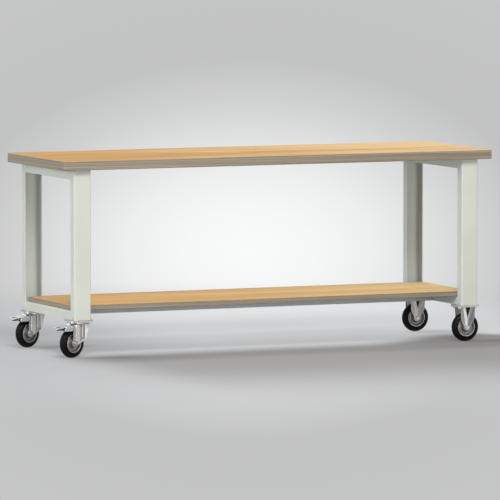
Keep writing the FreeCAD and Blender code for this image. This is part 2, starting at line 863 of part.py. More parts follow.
def around_wheel(radius, angle):
    """Point at a radius and an angle about the swivel caster's axle."""
    turned = math.radians(angle)
    return (swivel_offset + radius * math.cos(turned), axle_height + radius * math.sin(turned))


def brake_shoe():
    """Curved shoe under the pedal's sheet, a small gap off the tyre, with its stem.

    The stem's top fits the underside of the pedal and of its fingers.
    """
    half = shoe_width / 2.0
    inner = wheel_radius + shoe_gap
    outer = inner + shoe_thickness
    wedge_reach = 2.0 * wheel_radius
    wedge_corners = [
        (swivel_offset, axle_height, 0.0),
        around_wheel(wedge_reach, shoe_start_angle) + (0.0,),
        around_wheel(wedge_reach, shoe_end_angle) + (0.0,),
    ]
    start = (swivel_offset, -half, axle_height)
    ring = cylinder(outer, shoe_width, start, (0, 1, 0)).cut(cylinder(inner, shoe_width, start, (0, 1, 0)))
    shoe = ring.common(across(wedge_corners, half))
    stem_x, stem_z = around_wheel(inner + shoe_thickness / 2.0, (shoe_start_angle + shoe_end_angle) / 2.0)
    left = stem_x - shoe_thickness / 2.0
    right = stem_x + shoe_thickness / 2.0
    stem = across(
        [
            (left, stem_z, 0.0),
            (right, stem_z, 0.0),
            (right, pedal_cover_under(right), 0.0),
            (left, pedal_cover_under(left), 0.0),
        ],
        half,
    )
    return shoe.fuse(stem).cut(pedal()).removeSplitter()


def fixed_arch_path(outward):
    """Path of a fixed fork's outer face: upright feet that flare out to the plate."""
    half = fork_outer + outward
    top_half = fixed_fork_top_gap / 2.0 + fork_sheet + outward
    bottom = axle_height - fork_foot_radius
    return [
        (half, bottom),
        (half, fixed_fork_knee_height),
        (top_half, caster_height),
        (-top_half, caster_height),
        (-half, fixed_fork_knee_height),
        (-half, bottom),
    ]


def fixed_leg_outline():
    """Side view of a fixed fork: even in width, then narrowing to a round foot."""
    half_width = fixed_fork_width / 2.0
    half = fixed_fork_top_gap / 2.0 + fork_sheet + rib_height
    leg = across(
        [
            (-half_width, caster_height, 0.0),
            (half_width, caster_height, 0.0),
            (half_width, fixed_fork_shoulder_height, fixed_fork_shoulder_round),
            (fork_foot_radius, axle_height, 0.0),
            (-fork_foot_radius, axle_height, 0.0),
            (-half_width, fixed_fork_shoulder_height, fixed_fork_shoulder_round),
        ],
        half,
    )
    return leg.fuse(cylinder(fork_foot_radius, 2.0 * half, (0, -half, axle_height), (0, 1, 0)))


def fixed_ribs():
    """Two raised bands on each leg of a fixed fork, which meet above the axle."""
    half = fixed_fork_top_gap / 2.0 + fork_sheet + rib_height
    top = plate_bottom - fixed_rib_width / 2.0
    top_out = (fixed_dent_width + fixed_rib_width) / 2.0 + fixed_rib_gap
    foot_out = fixed_rib_width / 4.0
    strips = across(band((-top_out, top), (-foot_out, fixed_rib_foot), fixed_rib_width), half)
    strips = strips.fuse(across(band((top_out, top), (foot_out, fixed_rib_foot), fixed_rib_width), half))
    raised = fork_arch(fixed_arch_path(rib_height), fixed_fork_width, rib_height, fork_bend_radius)
    return raised.common(strips)


def fixed_dent():
    """Three-cornered dent between the ribs, in the outside of both legs of a fixed fork."""
    half = fixed_fork_top_gap / 2.0 + fork_sheet + rib_height
    top = plate_bottom - fixed_dent_top
    half_width = fixed_dent_width / 2.0
    corners = [
        (-half_width, top, fixed_dent_round),
        (half_width, top, fixed_dent_round),
        (0.0, top - fixed_dent_drop, fixed_dent_foot_round),
    ]
    inner_radius = fork_bend_radius + fork_sheet - fixed_dent_depth
    skin = fork_arch(fixed_arch_path(0.0), half_width, fixed_dent_depth, inner_radius)
    return across(corners, half).common(skin)


def fixed_fork():
    """Fixed caster's fork: a bolted plate with two ribbed legs that narrow to the axle."""
    reach = fixed_fork_width / 2.0
    half = fixed_fork_top_gap / 2.0 + fork_sheet + rib_height
    legs = fork_arch(fixed_arch_path(0.0), reach, fork_sheet, fork_bend_radius)
    legs = legs.common(fixed_leg_outline())
    legs = legs.fuse(fixed_ribs()).cut(fixed_dent())
    legs = legs.cut(block((-reach, -half, plate_bottom), (reach, half, 2.0 * caster_height)))
    legs = legs.cut(cylinder(axle_radius + axle_gap, 2.0 * half, (0, -half, axle_height), (0, 1, 0)))
    return flat_caster_plate().fuse(legs).removeSplitter()


def tyre():
    """Solid rubber tyre about the axle, with a round tread."""
    half = tyre_width / 2.0
    seat = tyre_seat_width / 2.0
    wall = rim_radius + (half - seat)
    return revolve_about_axle(
        [
            (rim_radius, -seat, 0.0),
            (wall, -half, tyre_wall_round),
            (wheel_radius, -half, tyre_round),
            (wheel_radius, half, tyre_round),
            (wall, half, tyre_wall_round),
            (rim_radius, seat, 0.0),
        ]
    )


def rim():
    """Steel rim about the axle: a barrel with lips, a web and a hub."""
    seat = tyre_seat_width / 2.0
    web = rim_web / 2.0
    inner = rim_radius - rim_barrel
    hub = hub_length / 2.0
    return revolve_about_axle(
        [
            (bearing_radius, -hub, 0.0),
            (hub_radius - hub_chamfer, -hub, 0.0),
            (hub_radius, -hub + hub_chamfer, 0.0),
            (hub_radius, -web, rim_web_round),
            (inner, -web, rim_web_round),
            (inner, -seat - rim_lip, rim_lip_round),
            (rim_radius, -seat - rim_lip, 0.0),
            (rim_radius, seat + rim_lip, 0.0),
            (inner, seat + rim_lip, rim_lip_round),
            (inner, web, rim_web_round),
            (hub_radius, web, rim_web_round),
            (hub_radius, hub - hub_chamfer, 0.0),
            (hub_radius - hub_chamfer, hub, 0.0),
            (bearing_radius, hub, 0.0),
        ]
    )


def tube_about_axle(outer, inner, length):
    """Tube about the axle, even on both sides of the wheel."""
    body = cylinder(outer, length, (0, -length / 2.0, 0), (0, 1, 0))
    return body.cut(cylinder(inner, length, (0, -length / 2.0, 0), (0, 1, 0)))


def axle_bolt():
    """Axle bolt, with its head on the caster's outer side."""
    length = 2.0 * fork_outer + axle_nut_height + axle_overrun
    bolt = hexagon_bolt(axle_radius, length, axle_flats, axle_head)
    return aim(bolt, (0, 1, 0), (0, fork_outer, 0))


def axle_nut():
    """Lock nut on the axle bolt."""
    return aim(hexagon_nut(axle_radius, axle_flats, axle_nut_height), (0, -1, 0), (0, -fork_outer, 0))


def stand(shape, x, y, heading):
    """Move a caster's shape from its own frame to its place on the bench.

    In its own frame a caster trails its wheel along +X and shows its outer side to +Y.
    """
    turn = FreeCAD.Rotation(FreeCAD.Vector(0, 0, 1), heading)
    placement = FreeCAD.Placement(FreeCAD.Vector(x, y, 0), turn)
    placed = shape.copy()
    placed.Placement = placement.multiply(placed.Placement)
    return placed


def at_axle(shape, offset):
    """Move a shape from the axle's own middle to the axle's place in a caster."""
    moved = shape.copy()
    moved.Placement = FreeCAD.Placement(
        FreeCAD.Vector(offset, 0, axle_height), FreeCAD.Rotation()
    ).multiply(moved.Placement)
    return moved


def wheel_pieces():
    """The three pieces that turn together as a wheel, about the axle's middle."""
    return {
        "tyre": tyre(),
        "rim": rim(),
        "bearing": tube_about_axle(bearing_radius, sleeve_radius + bearing_running_gap, bearing_length),
    }


def axle_pieces():
    """The three pieces that hold a wheel in its fork, about the axle's middle."""
    return {
        "axle_bolt": axle_bolt(),
        "axle_nut": axle_nut(),
        "axle_sleeve": tube_about_axle(sleeve_radius, axle_radius + axle_gap, fork_gap),
    }


def build():
    """Return every node's name with its list of solids."""
    nodes = {}
    worktop_screw_places = screw_line(worktop_screw_count)
    shelf_screw_places = screw_line(shelf_screw_count)
    nodes["worktop"] = [
        board(
            worktop_length, worktop_depth, leg_top, worktop_thickness, worktop_chamfer,
            worktop_screw_places, worktop_screw_depth,
        )
    ]
    nodes["shelf_board"] = [
        board(
            shelf_length, shelf_depth, shelf_bottom, shelf_thickness, shelf_chamfer,
            shelf_screw_places, shelf_screw_depth,
        )
    ]
    top_beam = beam(top_beam_height, leg_top, worktop_screw_places)
    bottom_beam = beam(bottom_beam_height, shelf_bottom, shelf_screw_places)
    for hole in rail_bolt_places(rail_bolt_radius, rail_bolt_length):
        bottom_beam = bottom_beam.cut(hole)
    nodes["top_beam_left"] = [top_beam]
    nodes["top_beam_right"] = [right_copy(top_beam)]
    nodes["bottom_beam_left"] = [bottom_beam]
    nodes["bottom_beam_right"] = [right_copy(bottom_beam)]
    nodes["centre_rail"] = centre_rail()
    nodes["rail_bolts"] = rail_bolts()
    ends = (-leg_center_x, leg_center_x)
    nodes["worktop_screws"] = [
        wood_screw(worktop_screw_depth, x, y, leg_top) for x in ends for y in worktop_screw_places
    ]
    nodes["shelf_screws"] = [
        wood_screw(shelf_screw_depth, x, y, shelf_bottom) for x in ends for y in shelf_screw_places
    ]
    for corner, shape in corner_copies(channel_leg()).items():
        nodes["leg_" + corner] = [shape]
    for corner, shape in corner_copies(foot_bracket()).items():
        nodes["foot_bracket_" + corner] = [shape]
    nodes["leg_bolts"] = list(corner_copies(side_bolt()).values())
    nodes["leg_nuts"] = list(corner_copies(side_nut()).values())

    nodes["caster_bolts"] = []
    nodes["kingpins"] = []
    nodes["kingpin_nuts"] = []
    wheels = wheel_pieces()
    axles = axle_pieces()
    for corner, y in (("left_front", -caster_y), ("left_back", caster_y)):
        x = -leg_center_x
        heading = 180.0 + swivel_heading
        nodes["caster_bolts"] += [stand(bolt, x, y, 0.0) for bolt in plate_bolts()]
        nodes["caster_plate_" + corner] = [stand(swivel_plate(), x, y, 0.0)]
        nodes["kingpins"].append(stand(kingpin(), x, y, 0.0))
        nodes["kingpin_nuts"].append(stand(kingpin_nut(), x, y, 0.0))
        nodes["lower_race_" + corner] = [stand(lower_race(), x, y, 0.0)]
        nodes["fork_" + corner] = [stand(swivel_fork(), x, y, heading)]
        nodes["race_balls_" + corner] = [stand(ball, x, y, heading) for ball in race_balls()]
        nodes["pedal_pin_" + corner] = [stand(pedal_pin(), x, y, heading)]
        nodes["brake_pedal_" + corner] = [stand(pedal(), x, y, heading)]
        nodes["brake_shoe_" + corner] = [stand(brake_shoe(), x, y, heading)]
        for name, shape in {**wheels, **axles}.items():
            nodes[name + "_" + corner] = [stand(at_axle(shape, swivel_offset), x, y, heading)]
    for name in axles:
        nodes["fixed_" + name + "s"] = []
    for corner, y in (("right_front", -caster_y), ("right_back", caster_y)):
        x = leg_center_x
        nodes["caster_bolts"] += [stand(bolt, x, y, 0.0) for bolt in plate_bolts()]
        nodes["fixed_fork_" + corner] = [stand(fixed_fork(), x, y, 180.0)]
        for name, shape in wheels.items():
            nodes[name + "_" + corner] = [stand(at_axle(shape, 0.0), x, y, 180.0)]
        for name, shape in axles.items():
            nodes["fixed_" + name + "s"].append(stand(at_axle(shape, 0.0), x, y, 180.0))
    return nodes


os.makedirs("parts", exist_ok=True)
for node, solids in build().items():
    shape = solids[0] if len(solids) == 1 else Part.makeCompound(solids)
    print(node, len(shape.Solids), round(shape.Volume / 1000.0, 2), "cm3", shape.isValid())
    shape.exportStep("parts/" + node + ".step")
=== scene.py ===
"""Mobile assembly table: multiplex boards on a folded steel frame with four casters.

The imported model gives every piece's place. This script gives each of its pieces a finish, puts
finer surfaces over some of them, and sets up a plain studio. Lengths are in metres.
"""

import logging
import math
from dataclasses import dataclass, replace
from enum import Enum
from typing import Any, Sequence

import bmesh
import bpy
import numpy as np
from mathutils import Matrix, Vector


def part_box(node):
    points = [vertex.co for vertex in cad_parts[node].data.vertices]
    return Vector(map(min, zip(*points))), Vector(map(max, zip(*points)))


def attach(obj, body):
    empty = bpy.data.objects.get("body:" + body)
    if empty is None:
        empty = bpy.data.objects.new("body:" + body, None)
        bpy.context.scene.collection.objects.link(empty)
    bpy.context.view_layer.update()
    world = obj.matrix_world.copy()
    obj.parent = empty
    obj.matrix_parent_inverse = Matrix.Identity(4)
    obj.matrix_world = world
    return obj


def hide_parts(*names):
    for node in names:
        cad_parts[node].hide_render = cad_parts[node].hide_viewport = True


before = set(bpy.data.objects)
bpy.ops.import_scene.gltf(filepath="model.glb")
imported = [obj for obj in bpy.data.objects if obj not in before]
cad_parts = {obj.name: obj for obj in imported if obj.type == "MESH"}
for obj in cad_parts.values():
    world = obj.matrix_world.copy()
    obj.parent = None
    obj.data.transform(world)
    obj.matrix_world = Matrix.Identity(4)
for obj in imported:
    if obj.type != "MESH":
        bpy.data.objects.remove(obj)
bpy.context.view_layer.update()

LOG = logging.getLogger("table")
MM = 0.001
QUARTER_TURN = math.pi / 2.0
FULL_TURN = 2.0 * math.pi
# painted shade on the inner side of a pressed sheet, which faces the wheel
INNER_SHADE = 0.12  # value of "hollow" on the inner side of a pressed sheet
ARC_STEPS = 14  # points along a quarter circle of a pressed fork

Array = np.ndarray
Material = bpy.types.Material
Object = bpy.types.Object
Colour = tuple[float, float, float]
Point = tuple[float, float, float]


class Corner(Enum):
    """The four corners of the table, by the names that its pieces carry."""

    LEFT_FRONT = "left_front"
    LEFT_BACK = "left_back"
    RIGHT_FRONT = "right_front"
    RIGHT_BACK = "right_back"

    @property
    def is_left(self) -> bool:
        """Whether the corner has a swivel caster."""
        return self in (Corner.LEFT_FRONT, Corner.LEFT_BACK)


def mm(*lengths: float) -> tuple[float, ...]:
    """Millimetres as metres."""
    return tuple(length * MM for length in lengths)


def new_object(name: str, data: Any) -> Object:
    """A new object, linked to the scene."""
    made = bpy.data.objects.new(name, data)
    bpy.context.scene.collection.objects.link(made)
    return made


# ---------------------------------------------------------------------------------- shader maths


class Field:
    """An output socket that takes part in arithmetic, each step of which adds a Math node."""

    def __init__(self, tree: "Tree", socket: bpy.types.NodeSocket) -> None:
        """Wrap an output socket of a tree."""
        self.tree = tree
        self.socket = socket

    def output(self, name: str) -> "Field":
        """Another output of the same node."""
        return Field(self.tree, self.socket.node.outputs[name])

    def math(self, operation: str, *operands: Any) -> "Field":
        """Result of a Math node, whose inputs in order are numbers or Fields."""
        return self.tree.add("ShaderNodeMath", {"operation": operation}, dict(enumerate(operands)))

    def __add__(self, other: Any) -> "Field":
        """Sum."""
        return self.math("ADD", self, other)

    __radd__ = __add__

    def __sub__(self, other: Any) -> "Field":
        """Difference."""
        return self.math("SUBTRACT", self, other)

    def __rsub__(self, other: Any) -> "Field":
        """Difference from a number."""
        return self.math("SUBTRACT", other, self)

    def __mul__(self, other: Any) -> "Field":
        """Product."""
        return self.math("MULTIPLY", self, other)

    __rmul__ = __mul__

    def __truediv__(self, other: Any) -> "Field":
        """Quotient."""
        return self.math("DIVIDE", self, other)

    def __rtruediv__(self, other: Any) -> "Field":
        """Quotient of a number."""
        return self.math("DIVIDE", other, self)

    def __abs__(self) -> "Field":
        """Size without its sign."""
        return self.math("ABSOLUTE", self)

    def whole(self) -> "Field":
        """Largest whole number that isn't above the value."""
        return self.math("FLOOR", self)

    def part(self) -> "Field":
        """What is left of the value above its whole number."""
        return self.math("FRACT", self)

    def sine(self) -> "Field":
        """Sine of the value in radians."""
        return self.math("SINE", self)

    def root(self) -> "Field":
        """Square root."""
        return self.math("SQRT", self)

    def larger(self, other: Any) -> "Field":
        """The larger of two values."""
        return self.math("MAXIMUM", self, other)

    def step(self, low: float, high: float) -> "Field":
        """Smooth rise.

        Args:
            low: where the value still gives 0.
            high: where it gives 1. Below low, the rise becomes a fall.

        Returns:
            3t^2 - 2t^3 of t, the value's place between low and high, kept between 0 and 1.
        """
        settings = {"interpolation_type": "SMOOTHSTEP", "clamp": True}
        start, end = (0.0, 1.0) if high > low else (1.0, 0.0)
        inputs = {0: self, 1: min(low, high), 2: max(low, high), 3: start, 4: end}
        return self.tree.add("ShaderNodeMapRange", settings, inputs)


class Tree:
    """The node tree of one material or world, with a method for each kind of step."""

    def __init__(self, owner: Any) -> None:
        """Empty the node tree of a material or a world."""
        owner.use_nodes = True
        self.nodes = owner.node_tree.nodes
        self.links = owner.node_tree.links
        self.nodes.clear()

    def add(
        self, kind: str, settings: dict[str, Any] | None = None,
        inputs: dict[int | str, Any] | None = None, output: int | str = 0,
    ) -> Field:
        """Add a node.

        Args:
            kind: the node's type.
            settings: its settings, with a ramp's list of (place, colour) as "stops".
            inputs: values or Fields for its sockets, by name or number.
            output: the output to return.

        Returns:
            That output.
        """
        node = self.nodes.new(kind)
        for name, value in (settings or {}).items():
            if name == "stops":
                self._set_stops(node.color_ramp.elements, value)
            else:
                setattr(node, name, value)
        for key, value in (inputs or {}).items():
            if isinstance(value, Field):
                self.links.new(value.socket, node.inputs[key])
            else:
                node.inputs[key].default_value = value
        return Field(self, node.outputs[output] if len(node.outputs) else None)

    @staticmethod
    def _set_stops(elements: Any, stops: Sequence[tuple[float, Colour]]) -> None:
        """Give a colour ramp's two elements, and new ones, their places and colours."""
        for _ in stops[2:]:
            elements.new(0.5)
        for element, (place, colour) in zip(elements, stops):
            element.position, element.color = place, (*colour, 1.0)

    def place(self) -> Field:
        """Object coordinates, which are the table's own because every object sits at 0."""
        return self.add("ShaderNodeTexCoord", output="Object")

    def toward(self, vector: Field, direction: Any) -> Field:
        """How far a vector reaches along a direction, which is a Field or three numbers."""
        inputs = {0: vector, 1: direction}
        return self.add("ShaderNodeVectorMath", {"operation": "DOT_PRODUCT"}, inputs, "Value")

    def parts(self, vector: Field) -> tuple[Field, Field, Field]:
        """A vector's three numbers."""
        split = self.add("ShaderNodeSeparateXYZ", None, {0: vector})
        return split, split.output("Y"), split.output("Z")

    def noise(self, place: Any, scale: float, detail: float, rough: float) -> Field:
        """Cloudy pattern.

        Args:
            place: where to read it, as a vector or as three numbers or Fields.
            scale: features per metre.
            detail: number of finer layers.
            rough: weight of the finer layers.

        Returns:
            Values around 0.5.
        """
        if isinstance(place, tuple):
            place = self.add("ShaderNodeCombineXYZ", None, dict(enumerate(place)))
        inputs = {"Vector": place, "Scale": scale, "Detail": detail, "Roughness": rough}
        return self.add("ShaderNodeTexNoise", None, inputs, "Fac")

    def blend(self, share: Any, first: Any, second: Any) -> Field:
        """Mix two colours.

        Args:
            share: share of the second colour.
            first: a Field or a colour.
            second: a Field or a colour.

        Returns:
            The mixed colour.
        """
        colours = [c if isinstance(c, Field) else (*c, 1.0) for c in (first, second)]
        inputs = {0: share, 6: colours[0], 7: colours[1]}
        return self.add("ShaderNodeMix", {"data_type": "RGBA"}, inputs, 2)

    def layers(self, base: Any, *layers: tuple[Any, Any]) -> Field:
        """A base colour with others over it in order, each given as (share, colour)."""
        for share, colour in layers:
            base = self.blend(share, base, colour)
        return base

    def bump(self, height: Field, depth: float, normal: Field | None = None) -> Field:
        """Normal that follows a height.

        Args:
            height: the height from 0 to 1.
            depth: the depth in metres that 1 stands for.
            normal: the normal to start from.

        Returns:
            The bumped normal.
        """
        inputs: dict[int | str, Any] = {"Height": height, "Distance": depth, "Strength": 1.0}
        if normal is not None:
            inputs["Normal"] = normal
        return self.add("ShaderNodeBump", None, inputs)

    def rounded(self, radius: float) -> Field:
        """Normal as if every edge had a small round of this radius."""
        return self.add("ShaderNodeBevel", {"samples": 6}, {"Radius": radius})

    def edges(self, rounded: Field) -> Field:
        """Mask of sharp edges, from how far the rounded normal is turned off the face's own."""
        return self.toward(rounded, self.normal()).step(0.999, 0.92)

    def normal(self) -> Field:
        """The face's own normal."""
        return self.add("ShaderNodeNewGeometry", output="Normal")

    def surface(self, **inputs: Any) -> None:
        """Close the tree with a Principled surface, whose sockets are named with _ for a space."""
        sockets: dict[int | str, Any] = {}
        for key, value in inputs.items():
            is_colour = isinstance(value, tuple) and len(value) == 3
            sockets[key.replace("_", " ")] = (*value, 1.0) if is_colour else value
        self.close(self.add("ShaderNodeBsdfPrincipled", None, sockets))

    def mixed(self, share: Field, first: Field, second: Field) -> Field:
        """Two shaders, with this share of the second."""
        return self.add("ShaderNodeMixShader", None, {0: share, 1: first, 2: second})

    def close(self, shader: Field, kind: str = "ShaderNodeOutputMaterial") -> None:
        """Link a shader to the tree's output."""
        self.add(kind, None, {0: shader})


def new_material(name: str) -> tuple[Material, Tree]:
    """An empty material and its tree."""
    material = bpy.data.materials.new(name)
    return material, Tree(material)


# -------------------------------------------------------------------------------------- finishes


@dataclass(frozen=True)
class Finish:
    """A finish, which becomes a material."""

    name: str

    def material(self) -> Material:
        """Build the material."""
        material, tree = new_material(self.name)
        self.paint(tree)
        return material

    def paint(self, tree: Tree) -> None:
        """Fill the material's empty tree."""
        raise NotImplementedError


@dataclass(frozen=True)
class Multiplex(Finish):
    """Lacquered beech multiplex: veneer on the faces, and stacked plies round the edges."""

    bottom: float
    thickness: float
    plies: int
    pale: Colour = (0.910, 0.625, 0.310)
    deep: Colour = (0.590, 0.325, 0.102)
    fleck: Colour = (0.470, 0.255, 0.090)
    arris: Colour = (0.740, 0.470, 0.250)
    backing: Colour = (0.330, 0.350, 0.365)
    ply_pale: Colour = (0.352, 0.296, 0.218)
    ply_dark: Colour = (0.205, 0.165, 0.118)
    ply_bright: Colour = (0.415, 0.365, 0.280)
    glue: Colour = (0.120, 0.092, 0.066)
    leaf_width: float = 0.236
    leaf_start: float = 0.31
    leaf_shift: float = 1.37
    leaf_fade: float = 0.23
    long_fade: float = 0.220
    arris_round: float = 0.9 * MM
    relief: float = 0.12 * MM

    def paint(self, tree: Tree) -> None:
        """Veneer on top, a backing sheet below and plies round the edges.

        Args:
            tree: the material's tree.
        """
        x, y, z = tree.parts(tree.place())
        veneer, height = self._veneer(tree, x, y)
        edge, edge_height = self._plies(tree, x, y, z)
        upright = tree.parts(tree.normal())[2]
        is_face = abs(upright).step(0.80, 0.92)
        upper_arris = upright.step(0.45, 0.65) - upright.step(0.80, 0.92)
        veneer = tree.blend(upright.step(-0.6, -0.9), veneer, self.backing)
        colour = tree.layers(edge, (is_face, veneer), (upper_arris * 0.75, self.arris))
        relief = height * is_face + edge_height * (1.0 - is_face)
        bumped = tree.bump(relief, self.relief, tree.rounded(self.arris_round))
        tree.surface(
            Base_Color=colour, Roughness=0.60 + relief * 0.14, Normal=bumped,
            Coat_Weight=0.04, Coat_Roughness=0.40, Specular_IOR_Level=0.20,
        )

    def _veneer(self, tree: Tree, x: Field, y: Field) -> tuple[Field, Field]:
        """Face veneer, in leaves that lie side by side along the board.

        The growth lines are sin(2 pi (26 y + 5.6 n(x, y))), with n a cloudy pattern that is
        drawn out along the grain. Fine pores and short flecks lie over them.

        Args:
            tree: the tree to add to.
            x: place along the grain.
            y: place across it.

        Returns:
            The colour, and the height of the grain.
        """
        leaves = y / self.leaf_width + self.leaf_start
        leaf = leaves.whole()
        along = x + leaf * self.leaf_shift
        broad = tree.noise((along * 0.8, y * 9.0, leaf * 3.1), 1.0, 4.0, 0.60)
        bands = tree.noise((along * 1.3, y * 16.0, leaf * 1.9), 1.0, 2.0, 0.45)
        warp = tree.noise((along * 1.1, y * 3.4, leaf * 5.7), 1.0, 2.0, 0.45)
        lines = ((y * 26.0 + warp * 5.6) * FULL_TURN).sine() * 0.5 + 0.5
        fine = tree.noise((along * 9.0, y * 420.0, leaf), 1.0, 4.0, 0.62)
        flecks = tree.noise((along * 130.0, y * 1500.0, leaf), 1.0, 2.0, 0.5)
        flecks = flecks.step(0.60, 0.74)
        tone = broad * 0.78 + lines * 0.14 + fine * 0.28 + (bands - 0.5) * 0.62
        tone = tone + (leaf * 12.9898).sine() * 0.05
        share = (tone + leaf * self.leaf_fade - along * self.long_fade).step(0.36, 0.80)
        seam = abs(leaves.part() - 0.5).step(0.4985, 0.4998)
        colour = tree.layers(
            self.pale, (share, self.deep), (flecks * 0.38, self.fleck), (seam * 0.35, self.fleck),
        )
        return colour, fine * 0.7 + flecks * -0.25 + 0.2

    def _plies(self, tree: Tree, x: Field, y: Field, z: Field) -> tuple[Field, Field]:
        """Stacked plies, each second one showing its end grain.

        Args:
            tree: the tree to add to.
            x: place along the table.
            y: place across it.
            z: height.

        Returns:
            The colour, and the height of the sawn edge.
        """
        pitch = self.thickness / self.plies
        run = x + y
        waver = tree.noise((x * 3.0, y * 3.0, z * 40.0), 1.0, 2.0, 0.5) * 0.22
        level = (z - self.bottom) / pitch + waver - 0.11
        turn = abs((level * 0.5).part() - 0.5) * 2.0
        is_end_grain = turn.step(0.42, 0.58)
        streaks = tree.noise((run * 26.0, 0.0, z * 2600.0), 1.0, 3.0, 0.6)
        pores = tree.noise((run * 1900.0, level.whole(), z * 1500.0), 1.0, 2.0, 0.5)
        pale = tree.blend(streaks.step(0.35, 0.72) * 0.5, self.ply_pale, self.ply_dark)
        dark = tree.blend(pores.step(0.40, 0.68) * 0.45, self.ply_dark, self.ply_pale)
        joint = abs(level.part() - 0.5).step(0.44, 0.49)
        cloud = tree.noise((run * 0.9, run * 0.3, level * 0.55), 1.0, 3.0, 0.6)
        colour = tree.layers(
            pale, (is_end_grain, dark), (joint * 0.55, self.glue),
            (cloud.step(0.50, 0.62) * 0.80, self.ply_bright),
            (cloud.step(0.48, 0.38) * 0.75, self.ply_dark),
        )
        return colour, streaks * 0.4 + pores * 0.3 - joint * 0.3


@dataclass(frozen=True)
class PowderCoat(Finish):
    """Light grey powder coat: satin, finely pebbled, with paler edges as a painted highlight."""

    colour: Colour
    edge_highlight_colour: Colour
    pebble: float = 1.3 * MM
    depth: float = 0.035 * MM
    edge_round: float = 1.1 * MM
    channel_light_colour: Colour | None = None
    fold_shade_colour: Colour = (0.300, 0.310, 0.300)
    inward_light_colour: Colour = (0.650, 0.705, 0.680)
    middle_side: float = 870.5 * MM
    leg_middle: float = 907.0 * MM
    leg_half: float = 35.0 * MM
    leg_reach: tuple[float, float] = (256.0 * MM, 297.0 * MM)
    fold_start: float = 18.0 * MM
    fold_shade_share: float = 0.62

    def _paint_channel_light_and_shade(self, tree: Tree, place: Field, colour: Field) -> Field:
        """Painted light and shade inside the legs' channels: a cooler tint, and shade towards the
        folds.

        Args:
            tree: the tree to add to.
            place: place in the table's frame.
            colour: the coat's colour outside.

        Returns:
            The colour, tinted as cooler painted light where a point lies within the channel's half
            width of a leg's middle, and between its flanges' ends and its web, and darkened there
            towards the folds as painted shade. The sides that face the table's middle get a cooler
            tint too, as painted light.
        """
        x, y, _ = tree.parts(place)
        off = abs(abs(x) - self.leg_middle)
        near, far = self.leg_reach
        # inner: the channel's inside, which gets a cooler, paler tint as painted light
        inner = off.step(self.leg_half + 1.2 * MM, self.leg_half + 0.3 * MM)
        inner = inner * abs(y).step(near - 0.5 * MM, near + 1.0 * MM)
        inner = inner * abs(y).step(far + 1.2 * MM, far + 0.3 * MM)
        # sides inboard of the end frames get a cooler tint as painted light
        inward_lit = abs(x).step(self.middle_side, self.middle_side - MM)
        # painted shade towards the channel's folds
        fold_shade = inner * off.step(self.fold_start, self.leg_half) * self.fold_shade_share
        return tree.layers(
            colour, (inward_lit, self.inward_light_colour), (inner, self.channel_light_colour),
            (fold_shade, self.fold_shade_colour),
        )

    def paint(self, tree: Tree) -> None:
        """Pebbled coat with a few specks, and paler edges as a painted highlight.

        Args:
            tree: the material's tree.
        """
        place = tree.place()
        pebbles = tree.noise(place, 1.0 / self.pebble, 2.0, 0.4)
        flow = tree.noise(place, 5.0, 3.0, 0.5)
        specks = tree.noise(place, 620.0, 1.0, 0.5).step(0.70, 0.76)
        rounded = tree.rounded(self.edge_round)
        dim, dark = (tuple(c * share for c in self.colour) for share in (0.955, 0.72))
        colour = tree.layers(
            self.colour, (flow.step(0.35, 0.68), dim), (specks * 0.10, dark),
            # paler edges: a painted highlight along the rounded edges
            (tree.edges(rounded) * 0.30, self.edge_highlight_colour),
        )
        # painted light and shade inside the legs' channels
        if self.channel_light_colour is not None:
            colour = self._paint_channel_light_and_shade(tree, place, colour)
        rough = 0.40 + flow * 0.10 + pebbles * 0.06
        bumped = tree.bump(pebbles, self.depth, rounded)
        tree.surface(Base_Color=colour, Roughness=rough, Normal=bumped, Specular_IOR_Level=0.45)


@dataclass(frozen=True)
class PlatedSteel(Finish):
    """Zinc plated steel: cloudy and slightly blue, with rolling lines and paler edges as a painted
    highlight.
    """

    colour: Colour = (0.800, 0.805, 0.805)
    cloud_colour: Colour = (0.640, 0.652, 0.668)
    edge_highlight_colour: Colour = (0.900, 0.900, 0.890)
    roughness: float = 0.26
    spread: float = 0.16
    line_depth: float = 0.010 * MM
    edge_radius: float = 0.7 * MM
    hollow_colour: Colour | None = None
    painted_highlight_colour: Colour = (0.980, 0.975, 0.965)

    def paint(self, tree: Tree) -> None:
        """Clouded plating, with painted shade in the hollows of a pressed piece and a painted
        highlight on its crests.

        Args:
            tree: the material's tree.
        """
        place = tree.place()
        x, y, z = tree.parts(place)
        cloud = tree.noise(place, 85.0, 4.0, 0.6)
        blotch = tree.noise(place, 26.0, 2.0, 0.5)
        lines = tree.noise((x * 2600.0, y * 2600.0, z * 60.0), 1.0, 2.0, 0.5)
        rounded = tree.rounded(self.edge_radius)
        edges = tree.edges(rounded)
        share = (cloud * 0.6 + blotch * 0.4).step(0.36, 0.66)
        # paler edges: a painted highlight
        colour = tree.layers(
            self.colour, (share, self.cloud_colour), (edges * 0.6, self.edge_highlight_colour)
        )
        rough = self.roughness + share * self.spread + lines * 0.05 - edges * 0.05
        metal = 1.0
        if self.hollow_colour is not None:
            # painted shade where the mesh's value is above 0, and a painted highlight where it is
            # below 0
            hollow = tree.add("ShaderNodeAttribute", {"attribute_name": "hollow"}, output="Fac")
            shade_share = (hollow * (0.8 + cloud * 0.4)).step(0.02, 0.95)
            highlight_share = (hollow * -1.0).step(0.05, 0.95)
            colour = tree.layers(
                colour, (highlight_share, self.painted_highlight_colour), (shade_share, self.hollow_colour)
            )
            rough = rough + shade_share * 0.2
            # the painted highlight is less metallic, so that it shows white
            metal = 1.0 - highlight_share * 0.75
        bumped = tree.bump(lines * 0.6 + cloud * 0.4, self.line_depth, rounded)
        tree.surface(Base_Color=colour, Metallic=metal, Roughness=rough, Normal=bumped)


